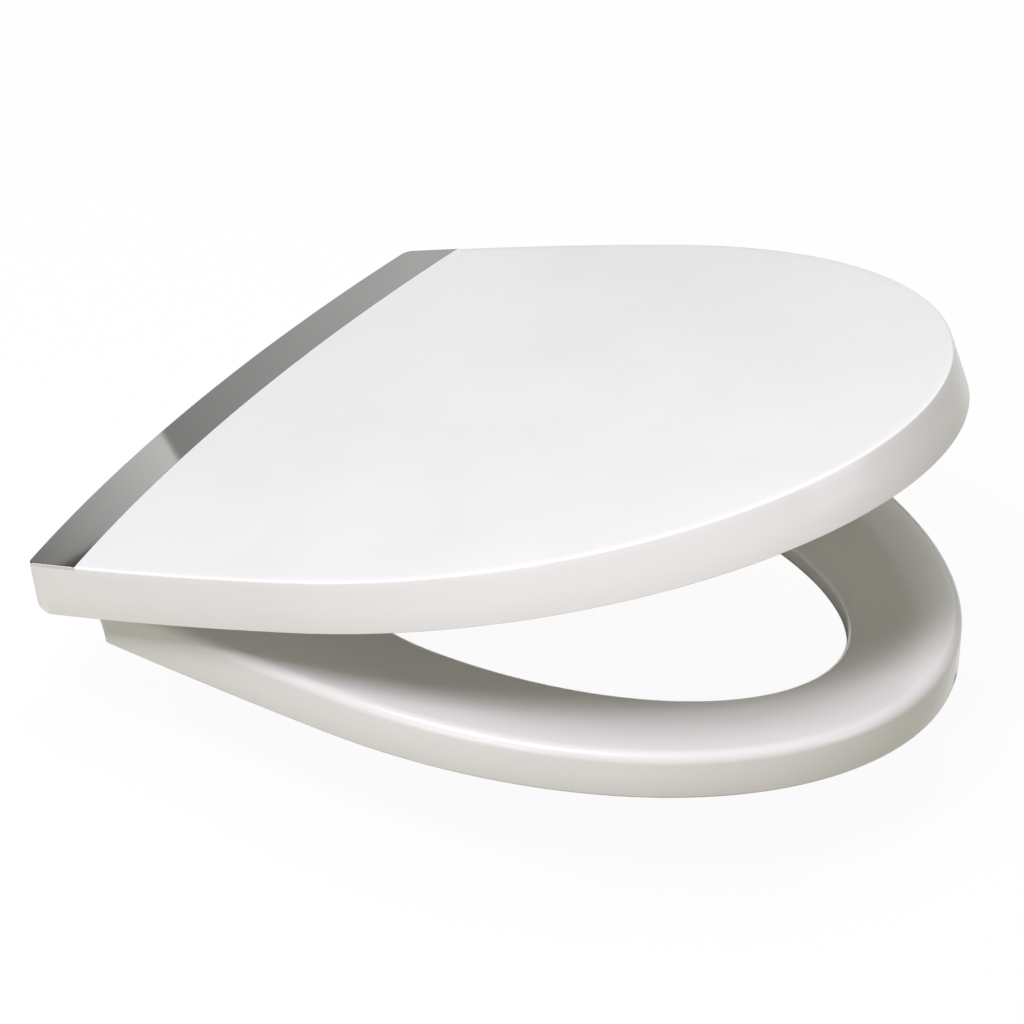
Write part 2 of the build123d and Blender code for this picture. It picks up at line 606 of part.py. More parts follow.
lid.part.label = "lid"
export_step(lid.part, "parts/lid.step")
hinge_strip.part.label = "hinge_strip"
export_step(hinge_strip.part, "parts/hinge_strip.step")
lid_bracket_left.part.label = "lid_bracket_left"
export_step(lid_bracket_left.part, "parts/lid_bracket_left.step")
lid_bracket_right.part.label = "lid_bracket_right"
export_step(lid_bracket_right.part, "parts/lid_bracket_right.step")
lid_bush_left.part.label = "lid_bush_left"
export_step(lid_bush_left.part, "parts/lid_bush_left.step")
lid_bush_right.part.label = "lid_bush_right"
export_step(lid_bush_right.part, "parts/lid_bush_right.step")
lid_screws.part.label = "lid_screws"
export_step(lid_screws.part, "parts/lid_screws.step")
lid_buffer_left.part.label = "lid_buffer_left"
export_step(lid_buffer_left.part, "parts/lid_buffer_left.step")
lid_buffer_right.part.label = "lid_buffer_right"
export_step(lid_buffer_right.part, "parts/lid_buffer_right.step")
seat_ring.part.label = "seat_ring"
export_step(seat_ring.part, "parts/seat_ring.step")
ring_bracket_left.part.label = "ring_bracket_left"
export_step(ring_bracket_left.part, "parts/ring_bracket_left.step")
ring_bracket_right.part.label = "ring_bracket_right"
export_step(ring_bracket_right.part, "parts/ring_bracket_right.step")
ring_bush_left.part.label = "ring_bush_left"
export_step(ring_bush_left.part, "parts/ring_bush_left.step")
ring_bush_right.part.label = "ring_bush_right"
export_step(ring_bush_right.part, "parts/ring_bush_right.step")
ring_screws.part.label = "ring_screws"
export_step(ring_screws.part, "parts/ring_screws.step")
ring_buffer_front_left.part.label = "ring_buffer_front_left"
export_step(ring_buffer_front_left.part, "parts/ring_buffer_front_left.step")
ring_buffer_front_right.part.label = "ring_buffer_front_right"
export_step(ring_buffer_front_right.part, "parts/ring_buffer_front_right.step")
ring_buffer_rear_left.part.label = "ring_buffer_rear_left"
export_step(ring_buffer_rear_left.part, "parts/ring_buffer_rear_left.step")
ring_buffer_rear_right.part.label = "ring_buffer_rear_right"
export_step(ring_buffer_rear_right.part, "parts/ring_buffer_rear_right.step")
hinge_post_left.part.label = "hinge_post_left"
export_step(hinge_post_left.part, "parts/hinge_post_left.step")
hinge_post_right.part.label = "hinge_post_right"
export_step(hinge_post_right.part, "parts/hinge_post_right.step")
pivot_pin_left.part.label = "pivot_pin_left"
export_step(pivot_pin_left.part, "parts/pivot_pin_left.step")
pivot_pin_right.part.label = "pivot_pin_right"
export_step(pivot_pin_right.part, "parts/pivot_pin_right.step")
pin_clips.part.label = "pin_clips"
export_step(pin_clips.part, "parts/pin_clips.step")
sealing_pad_left.part.label = "sealing_pad_left"
export_step(sealing_pad_left.part, "parts/sealing_pad_left.step")
sealing_pad_right.part.label = "sealing_pad_right"
export_step(sealing_pad_right.part, "parts/sealing_pad_right.step")
fixing_bolts.part.label = "fixing_bolts"
export_step(fixing_bolts.part, "parts/fixing_bolts.step")
clamp_washers.part.label = "clamp_washers"
export_step(clamp_washers.part, "parts/clamp_washers.step")
flat_washers.part.label = "flat_washers"
export_step(flat_washers.part, "parts/flat_washers.step")
wing_nut_left.part.label = "wing_nut_left"
export_step(wing_nut_left.part, "parts/wing_nut_left.step")
wing_nut_right.part.label = "wing_nut_right"
export_step(wing_nut_right.part, "parts/wing_nut_right.step")
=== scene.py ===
"""Toilet seat in a plain studio: a part-open wrap-over lid with a metal strip along its rear edge,
a dished ring with an oval hole, and the hinges that bolt them to the bowl."""

import logging
import math
from dataclasses import dataclass, field
from enum import Enum
from typing import Any, Callable, Dict, List, Optional, Sequence, Tuple

import bmesh
import bpy
import numpy as np
from mathutils import Matrix, Vector


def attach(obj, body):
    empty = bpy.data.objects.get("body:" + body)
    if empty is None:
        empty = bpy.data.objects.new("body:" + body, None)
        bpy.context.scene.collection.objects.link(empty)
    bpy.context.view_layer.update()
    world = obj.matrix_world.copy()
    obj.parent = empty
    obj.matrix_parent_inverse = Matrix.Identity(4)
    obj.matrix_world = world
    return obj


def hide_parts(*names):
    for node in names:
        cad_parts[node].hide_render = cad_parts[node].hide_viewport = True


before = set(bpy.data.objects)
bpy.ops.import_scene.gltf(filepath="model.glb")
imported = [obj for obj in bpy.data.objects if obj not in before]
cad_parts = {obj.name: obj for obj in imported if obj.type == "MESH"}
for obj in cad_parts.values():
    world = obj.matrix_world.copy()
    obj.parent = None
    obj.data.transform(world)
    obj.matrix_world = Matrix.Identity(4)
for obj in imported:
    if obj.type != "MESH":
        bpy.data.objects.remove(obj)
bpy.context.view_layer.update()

log = logging.getLogger("toilet_seat")

MM = 0.001
Pair = Tuple[float, float]
Point = Tuple[float, float, float]
Stops = Sequence[Tuple[float, str]]
Loop = np.ndarray
Place = Callable[[Loop], Loop]

# Angles at which a rounded edge gets a rim: on an edge that catches the light, and on a small one.
EDGE_STEPS = np.radians((18.0, 36.0, 54.0, 72.0, 90.0))
SMALL_STEPS = np.radians((30.0, 60.0, 90.0))
# Turns a point of a plan view over to the other side of the seat's middle plane.
FLIP = np.array([-1.0, 1.0])


class Body(Enum):
    """The three parts that move against each other."""

    HINGE = "hinge"
    RING = "ring"
    LID = "lid"


class Side(Enum):
    """Which half of the seat a piece belongs to, as the sign of its x."""

    LEFT = -1
    RIGHT = 1

    def label(self) -> str:
        """The word that ends the piece's name."""
        return self.name.lower()


# Colour and nodes.


def linear(hex_code: str) -> Tuple[float, float, float, float]:
    """Turns an sRGB hex value into linear colour.

    Args:
        hex_code: six hex digits with or without a leading hash.

    Returns:
        Linear red, green, blue and an alpha of one.
    """
    digits = hex_code.lstrip("#")
    out = []
    for start in (0, 2, 4):
        level = int(digits[start:start + 2], 16) / 255.0
        out.append(level / 12.92 if level <= 0.04045 else ((level + 0.055) / 1.055) ** 2.4)
    return out[0], out[1], out[2], 1.0


def add_node(tree: bpy.types.NodeTree, kind: str, inputs: Optional[Dict[Any, Any]] = None,
             stops: Stops = (), **settings: Any) -> bpy.types.Node:
    """Adds one node with its settings and links.

    Args:
        tree: the node tree to add to.
        kind: the node's type name.
        inputs: socket name or number to a value, or to an output socket that is linked.
        stops: place and sRGB hex of each tone of a colour ramp, lowest first.
        settings: plain properties of the node.

    Returns:
        The new node.
    """
    node = tree.nodes.new(kind)
    for key, value in settings.items():
        setattr(node, key, value)
    for key, value in (inputs or {}).items():
        if isinstance(value, bpy.types.NodeSocket):
            tree.links.new(value, node.inputs[key])
        else:
            node.inputs[key].default_value = value
    if stops:
        elements = node.color_ramp.elements
        while len(elements) < len(stops):
            elements.new(0.5)
        for element, (position, hex_code) in zip(elements, stops):
            element.position = position
            element.color = linear(hex_code)
    return node


def fresh_material(name: str) -> Tuple[bpy.types.Material, bpy.types.NodeTree]:
    """Makes an empty node material.

    Args:
        name: the finish's name.

    Returns:
        The material and its node tree.
    """
    material = bpy.data.materials.new(name)
    material.use_nodes = True
    material.node_tree.nodes.clear()
    return material, material.node_tree


# Finishes.


@dataclass(frozen=True)
class MouldedUrea:
    """Urea moulding, pressed hot in a polished steel tool.

    It gives the eye a hard, even white with a sharp soft-edged gloss, a faint ripple of the pressed
    skin and hardly any change of tone.
    """

    name: str = "urea_moulding_polished_white"
    white: str = "#F3F2F2"
    shade: str = "#F1F0F0"
    ior: float = 1.54
    low_rough: float = 0.17
    high_rough: float = 0.24
    cloud_mm: float = 70.0
    ripple_mm: float = 9.0
    ripple_depth_mm: float = 0.08
    peel_mm: float = 1.6
    peel_depth_mm: float = 0.02

    def build(self) -> bpy.types.Material:
        """Builds the node material.

        Returns:
            The material.
        """
        material, tree = fresh_material(self.name)
        spot = add_node(tree, "ShaderNodeTexCoord").outputs["Object"]
        cloud = add_node(tree, "ShaderNodeTexNoise",
                         {"Vector": spot, "Scale": 1.0 / (self.cloud_mm * MM), "Detail": 3.0})
        tone = add_node(tree, "ShaderNodeValToRGB", {"Fac": cloud.outputs["Fac"]},
                        [(0.35, self.shade), (0.65, self.white)])
        gloss = add_node(tree, "ShaderNodeMapRange",
                         {"Value": cloud.outputs["Fac"], "From Min": 0.3, "From Max": 0.7,
                          "To Min": self.low_rough, "To Max": self.high_rough})
        ripple = add_node(tree, "ShaderNodeTexNoise",
                          {"Vector": spot, "Scale": 1.0 / (self.ripple_mm * MM), "Detail": 1.0})
        peel = add_node(tree, "ShaderNodeTexNoise",
                        {"Vector": spot, "Scale": 1.0 / (self.peel_mm * MM), "Detail": 2.0})
        broad = add_node(tree, "ShaderNodeBump",
                         {"Height": ripple.outputs["Fac"], "Strength": 0.25,
                          "Distance": self.ripple_depth_mm * MM})
        fine = add_node(tree, "ShaderNodeBump",
                        {"Height": peel.outputs["Fac"], "Normal": broad.outputs["Normal"], "Strength": 0.2,
                         "Distance": self.peel_depth_mm * MM})
        skin = add_node(tree, "ShaderNodeBsdfPrincipled",
                        {"Base Color": tone.outputs["Color"], "Roughness": gloss.outputs["Result"],
                         "IOR": self.ior, "Normal": fine.outputs["Normal"]})
        add_node(tree, "ShaderNodeOutputMaterial", {"Surface": skin.outputs["BSDF"]})
        return material


@dataclass(frozen=True)
class BrushedMetal:
    """A bare metal with a worked surface.

    Long fine scratches along one direction give the eye a soft streaked sheen instead of a mirror.
    """

    name: str
    light: str
    dark: str
    low_rough: float
    high_rough: float
    along_mm: float
    across_mm: float
    bump: float
    scratch_depth_mm: float = 0.04
    cloud_mm: float = 25.0

    def build(self) -> bpy.types.Material:
        """Builds the node material.

        Returns:
            The material.
        """
        material, tree = fresh_material(self.name)
        spot = add_node(tree, "ShaderNodeTexCoord").outputs["Object"]
        along = 1.0 / (self.along_mm * MM)
        across = 1.0 / (self.across_mm * MM)
        lay = add_node(tree, "ShaderNodeMapping",
                       {"Vector": spot, "Scale": (along, across, across)})
        streak = add_node(tree, "ShaderNodeTexNoise",
                          {"Vector": lay.outputs["Vector"], "Scale": 1.0, "Detail": 4.0})
        cloud = add_node(tree, "ShaderNodeTexNoise",
                         {"Vector": spot, "Scale": 1.0 / (self.cloud_mm * MM), "Detail": 2.0})
        both = add_node(tree, "ShaderNodeMix", {0: 0.3, 2: streak.outputs["Fac"], 3: cloud.outputs["Fac"]})
        tone = add_node(tree, "ShaderNodeValToRGB", {"Fac": both.outputs[0]},
                        [(0.3, self.dark), (0.7, self.light)])
        gloss = add_node(tree, "ShaderNodeMapRange",
                         {"Value": both.outputs[0], "From Min": 0.3, "From Max": 0.7,
                          "To Min": self.high_rough, "To Max": self.low_rough})
        lines = add_node(tree, "ShaderNodeBump",
                         {"Height": streak.outputs["Fac"], "Strength": self.bump,
                          "Distance": self.scratch_depth_mm * MM})
        metal = add_node(tree, "ShaderNodeBsdfPrincipled",
                         {"Base Color": tone.outputs["Color"], "Metallic": 1.0,
                          "Roughness": gloss.outputs["Result"], "Normal": lines.outputs["Normal"]})
        add_node(tree, "ShaderNodeOutputMaterial", {"Surface": metal.outputs["BSDF"]})
        return material


@dataclass(frozen=True)
class GrainedPolymer:
    """A plastic or rubber with a dull moulded grain.

    A fine spark-eroded grain breaks up the light, so the eye sees a soft sheen and small changes of tone.
    """

    name: str
    light: str
    dark: str
    roughness: float
    ior: float
    grain_mm: float
    bump: float
    pit_depth_mm: float = 0.1
    cloud_mm: float = 14.0
    rough_spread: float = 0.06

    def build(self) -> bpy.types.Material:
        """Builds the node material.

        Returns:
            The material.
        """
        material, tree = fresh_material(self.name)
        spot = add_node(tree, "ShaderNodeTexCoord").outputs["Object"]
        grain = add_node(tree, "ShaderNodeTexNoise",
                         {"Vector": spot, "Scale": 1.0 / (self.grain_mm * MM), "Detail": 5.0,
                          "Roughness": 0.6})
        cloud = add_node(tree, "ShaderNodeTexNoise",
                         {"Vector": spot, "Scale": 1.0 / (self.cloud_mm * MM), "Detail": 3.0})
        tone = add_node(tree, "ShaderNodeValToRGB", {"Fac": cloud.outputs["Fac"]},
                        [(0.3, self.dark), (0.7, self.light)])
        gloss = add_node(tree, "ShaderNodeMapRange",
                         {"Value": grain.outputs["Fac"], "From Min": 0.3, "From Max": 0.7,
                          "To Min": self.roughness - self.rough_spread,
                          "To Max": self.roughness + self.rough_spread})
        pits = add_node(tree, "ShaderNodeBump",
                        {"Height": grain.outputs["Fac"], "Strength": self.bump,
                         "Distance": self.pit_depth_mm * MM})
        skin = add_node(tree, "ShaderNodeBsdfPrincipled",
                        {"Base Color": tone.outputs["Color"], "Roughness": gloss.outputs["Result"],
                         "IOR": self.ior, "Normal": pits.outputs["Normal"]})
        add_node(tree, "ShaderNodeOutputMaterial", {"Surface": skin.outputs["BSDF"]})
        return material


@dataclass
class FinishSet:
    """Every finish on the seat, made once."""

    moulding: bpy.types.Material = field(init=False)
    strip: bpy.types.Material = field(init=False)
    casting: bpy.types.Material = field(init=False)
    plating: bpy.types.Material = field(init=False)
    nylon: bpy.types.Material = field(init=False)
    rubber: bpy.types.Material = field(init=False)

    def __post_init__(self) -> None:
        """Builds the six materials."""
        self.moulding = MouldedUrea().build()
        # Stainless strip, buffed along its length: it mirrors the studio with only a trace of lay. Real
        # scratches are under 0.1 mm wide, which is too fine to show, so they are drawn 0.5 mm wide.
        self.strip = BrushedMetal("stainless_strip_buffed", light="#CBCAC8", dark="#C4C3C1", low_rough=0.03,
                                  high_rough=0.045, along_mm=45.0, across_mm=0.5, bump=0.005).build()
        # Zinc casting, tumbled and plated dull: no lay, only soft clouds and a low sheen.
        self.casting = BrushedMetal("zinc_casting_satin", light="#C9C8C5", dark="#B5B4B1", low_rough=0.3,
                                    high_rough=0.42, along_mm=3.0, across_mm=2.0, bump=0.08).build()
        # Bright zinc plate on turned steel: a fine grain left by the turning breaks up the gleam.
        self.plating = BrushedMetal("zinc_plated_steel_bright", light="#CFCFCC", dark="#B9B9B6",
                                    low_rough=0.18, high_rough=0.28, along_mm=1.2, across_mm=0.5,
                                    bump=0.06).build()
        # Natural nylon, moulded: off-white with a soft sheen.
        self.nylon = GrainedPolymer("nylon_moulded_natural", light="#E6E3DA", dark="#DAD6CB", roughness=0.45,
                                    ior=1.53, grain_mm=0.6, bump=0.2).build()
        # Grey rubber, moulded: dull, with a grain that shows at the edges.
        self.rubber = GrainedPolymer("rubber_moulded_grey", light="#8B8B89", dark="#7B7B79", roughness=0.62,
                                     ior=1.52, grain_mm=0.5, bump=0.3).build()


# Modelling by hand.


def select_only(obj: bpy.types.Object) -> None:
    """Leaves one object selected and active.

    Args:
        obj: the object.
    """
    bpy.ops.object.select_all(action="DESELECT")
    obj.select_set(True)
    bpy.context.view_layer.objects.active = obj


def apply_modifier(obj: bpy.types.Object, kind: str, **settings: Any) -> None:
    """Adds a modifier and applies it at once.

    Args:
        obj: the piece.
        kind: the modifier's type.
        settings: the modifier's properties.
    """
    modifier = obj.modifiers.new(kind.lower(), kind)
    for key, value in settings.items():
        setattr(modifier, key, value)
    select_only(obj)
    bpy.ops.object.modifier_apply(modifier=modifier.name)


def cut_away(obj: bpy.types.Object, cutter: bpy.types.Object) -> None:
    """Takes a cutter's volume out of a piece and throws the cutter away."""
    apply_modifier(obj, "BOOLEAN", object=cutter, operation="DIFFERENCE", solver="EXACT")
    bpy.data.meshes.remove(cutter.data)


def add_to(obj: bpy.types.Object, other: bpy.types.Object) -> None:
    """Melts another piece into this one and throws the other away."""
    apply_modifier(obj, "BOOLEAN", object=other, operation="UNION", solver="EXACT")
    bpy.data.meshes.remove(other.data)


def soften(obj: bpy.types.Object, width_mm: float, segments: int = 2, angle: float = 50.0) -> None:
    """Breaks a piece's sharp edges.

    Args:
        obj: the piece.
        width_mm: width of the broken edge.
        segments: faces across it.
        angle: edges sharper than this many degrees are broken.
    """
    apply_modifier(obj, "BEVEL", width=width_mm * MM, segments=segments, limit_method="ANGLE",
                   angle_limit=math.radians(angle), use_clamp_overlap=True, harden_normals=False)


def smooth(obj: bpy.types.Object, angle: float = 32.0) -> None:
    """Shades a piece smooth except over edges sharper than the angle."""
    select_only(obj)
    bpy.ops.object.shade_smooth_by_angle(angle=math.radians(angle), keep_sharp_edges=False)


def copied(obj: bpy.types.Object, name: str, move: Matrix) -> bpy.types.Object:
    """Copies a piece to another place, with its own mesh.

    Args:
        obj: the piece to repeat.
        name: name of the copy.
        move: takes the piece's points to the copy's.

    Returns:
        The copy.
    """
    twin = obj.copy()
    twin.data = obj.data.copy()
    twin.name = name
    twin.data.name = name
    bpy.context.scene.collection.objects.link(twin)
    twin.data.transform(move)
    return twin


def mirrored(obj: bpy.types.Object, name: str) -> bpy.types.Object:
    """Copies a piece on the left to the other side of the seat's middle plane.

    Args:
        obj: the piece on the left.
        name: name of the copy.

    Returns:
        The copy on the right.
    """
    twin = copied(obj, name, Matrix.Diagonal((-1.0, 1.0, 1.0, 1.0)))
    twin.data.flip_normals()
    return twin


class Shell:
    """A piece grown from a circle by extruding its rim again and again, as is done by hand."""

    def __init__(self, name: str, first: Loop) -> None:
        """Starts the piece.

        Args:
            name: the piece's name.
            first: points of the first rim, in metres.
        """
        bpy.ops.object.select_all(action="DESELECT")
        bpy.ops.mesh.primitive_circle_add(vertices=len(first), radius=0.05)
        self.obj = bpy.context.object
        self.obj.name = name
        self.obj.data.name = name
        self.row = 0
        laps = self.obj.data.attributes.new("lap", "INT", "POINT")
        laps.data.foreach_set("value", np.arange(len(first), dtype=np.int32))
        self.obj.data.attributes.new("row", "INT", "POINT")
        bpy.ops.object.mode_set(mode="EDIT")
        bpy.ops.mesh.select_mode(type="VERT")
        bpy.ops.mesh.select_all(action="SELECT")
        self._shape(first)

    def _shape(self, points: Loop) -> None:
        """Moves the selected rim to its points.

        Args:
            points: the rim's points, in metres.
        """
        mesh = bmesh.from_edit_mesh(self.obj.data)
        lap = mesh.verts.layers.int["lap"]
        row = mesh.verts.layers.int["row"]
        for vert in mesh.verts:
            if vert.select:
                vert.co = points[vert[lap]]
                vert[row] = self.row
        bmesh.update_edit_mesh(self.obj.data)

    def grow(self, points: Loop) -> "Shell":
        """Extrudes the rim and moves the new one to its points.

        Args:
            points: the new rim's points, in metres.

        Returns:
            The same piece.
        """
        self.row += 1
        bpy.ops.mesh.extrude_edges_indiv()
        self._shape(points)
        return self

    def _pick(self, rows: Sequence[int]) -> None:
        """Selects the edges of some rims.

        Args:
            rows: numbers of the rims, counted from the first.
        """
        bpy.ops.mesh.select_mode(type="EDGE")
        bpy.ops.mesh.select_all(action="DESELECT")
        mesh = bmesh.from_edit_mesh(self.obj.data)
        row = mesh.verts.layers.int["row"]
        for edge in mesh.edges:
            ends = edge.verts[0][row], edge.verts[1][row]
            if ends[0] == ends[1] and ends[0] in rows:
                edge.select_set(True)
        bmesh.update_edit_mesh(self.obj.data)

    def cap_last(self) -> "Shell":
        """Closes the newest rim with a face.

        Returns:
            The same piece.
        """
        self._pick([self.row])
        bpy.ops.mesh.edge_face_add()
        return self

    def cap_both(self) -> "Shell":
        """Closes the first and the newest rim with a face each.

        Returns:
            The same piece.
        """
        self._pick([0])
        bpy.ops.mesh.edge_face_add()
        return self.cap_last()

    def bridge_ends(self) -> "Shell":
        """Joins the newest rim back to the first.

        Returns:
            The same piece.
        """
        self._pick([0, self.row])
        bpy.ops.mesh.bridge_edge_loops()
        return self

    def done(self) -> bpy.types.Object:
        """Turns the faces outwards and leaves edit mode.

        Returns:
            The finished object.
        """
        bpy.ops.mesh.select_mode(type="VERT")
        bpy.ops.mesh.select_all(action="SELECT")
        bpy.ops.mesh.normals_make_consistent(inside=False)
        bpy.ops.object.mode_set(mode="OBJECT")
        for name in ("lap", "row"):
            self.obj.data.attributes.remove(self.obj.data.attributes[name])
        return self.obj


def level(points: Loop) -> Loop:
    """Millimetres in the seat's frame to metres."""
    return np.asarray(points, float) * MM


def turned(name: str, profile: Sequence[Pair], centre: Pair, place: Place = level, laps: int = 48,
           hollow: bool = False) -> bpy.types.Object:
    """Models a round piece about an upright line.

    Args:
        name: the piece's name.
        profile: radius and height of each rim in mm.
        centre: x and y of the line.
        place: takes points in mm to metres.
        laps: points round a rim.
        hollow: joins the last rim to the first instead of closing both.

    Returns:
        The finished object.
    """
    turn = np.linspace(0.0, 2.0 * math.pi, laps, endpoint=False)
    rims = [place(np.column_stack([centre[0] + r * np.cos(turn), centre[1] + r * np.sin(turn),
                                   np.full(laps, z)])) for r, z in profile]
    shell = Shell(name, rims[0])
    for rim in rims[1:]:
        shell.grow(rim)
    shell = shell.bridge_ends() if hollow else shell.cap_both()
    return shell.done()


def plate(name: str, outline: Sequence[Pair], x_from: float, x_to: float, place: Place) -> bpy.types.Object:
    """Models a flat-sided piece from its side view.

    Args:
        name: the piece's name.
        outline: side view as pairs of y and z in mm.
        x_from: x of one side.
        x_to: x of the other side.
        place: takes points in mm to metres.

    Returns:
        The finished object.
    """
    flat = np.asarray(outline, float)
    near = place(np.column_stack([np.full(len(flat), x_from), flat]))
    far = place(np.column_stack([np.full(len(flat), x_to), flat]))
    return Shell(name, near).grow(far).cap_both().done()


def arc(centre: Pair, radius: float, start: float, end: float, steps: int) -> List[Pair]:
    """Points along a circular arc.

    Args:
        centre: middle of the arc.
        radius: its radius.
        start: first angle in degrees.
        end: last angle in degrees.
        steps: number of points.

    Returns:
        The points, ends included.
    """
    return [(centre[0] + radius * math.cos(a), centre[1] + radius * math.sin(a))
            for a in np.radians(np.linspace(start, end, steps))]


def seat(obj: bpy.types.Object, body: Body, slot: str, finish: bpy.types.Material, *nodes: str) -> None:
    """Gives a piece its finish and its place in the moving model.

    Args:
        obj: the piece.
        body: the body it moves with.
        slot: not used.
        finish: its material.
        nodes: the CAD nodes it stands for.
    """
    obj.data.materials.clear()
    obj.data.materials.append(finish)
    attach(obj, body.value)
    if nodes:
        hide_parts(*nodes)
    log.info("%s: %d faces, moves with the %s", obj.name, len(obj.data.polygons), body.value)


# The hinge line, which lid and ring share.


@dataclass(frozen=True)
class HingeLine:
    """The axis that lid and ring turn about, and how far the lid stands open."""

    y: float = 24.0
    z: float = 25.2
    open_deg: float = 19.27

    def lid(self, points: Loop) -> Loop:
        """Turns points of the shut lid to the angle at which it stands open.

        Args:
            points: points of the shut lid, measured from the axis in mm.

        Returns:
            The points in metres.
        """
        flat = np.asarray(points, float)
        turn = math.radians(self.open_deg)
        y = self.y + flat[:, 1] * math.cos(turn) + flat[:, 2] * math.sin(turn)
        z = self.z - flat[:, 1] * math.sin(turn) + flat[:, 2] * math.cos(turn)
        return np.column_stack([flat[:, 0], y, z]) * MM

    def level(self, points: Loop) -> Loop:
        """Points measured from the axis in mm to metres, without the lid's turn."""
        return (np.asarray(points, float) + np.array([0.0, self.y, self.z])) * MM

    def across(self, points: Loop) -> Loop:
        """Points of a piece turned about the axis, its height running along x, to metres."""
        flat = np.asarray(points, float)
        return np.column_stack([flat[:, 2], self.y + flat[:, 0], self.z + flat[:, 1]]) * MM


def corner_fillet(corner: np.ndarray, first: np.ndarray, second: np.ndarray, radius: float,
                  steps: int) -> np.ndarray:
    """Rounds one corner between two directions.

    Args:
        corner: the sharp corner.
        first: unit direction from the corner along the edge that comes in.
        second: unit direction along the edge that goes out.
        radius: radius of the round.
        steps: number of points.

    Returns:
        The points from the incoming edge to the outgoing one.
    """
    half = math.acos(float(np.clip(first @ second, -1.0, 1.0))) / 2.0
    middle = first + second
    middle = corner + middle / np.linalg.norm(middle) * radius / math.sin(half)
    begin = corner + first * radius / math.tan(half) - middle
    end = corner + second * radius / math.tan(half) - middle
    a, b = math.atan2(begin[1], begin[0]), math.atan2(end[1], end[0])
    b = b - 2.0 * math.pi * round((b - a) / (2.0 * math.pi))
    return np.array([middle + radius * np.array([math.cos(t), math.sin(t)])
                     for t in np.linspace(a, b, steps)])


# The lid and its strip.


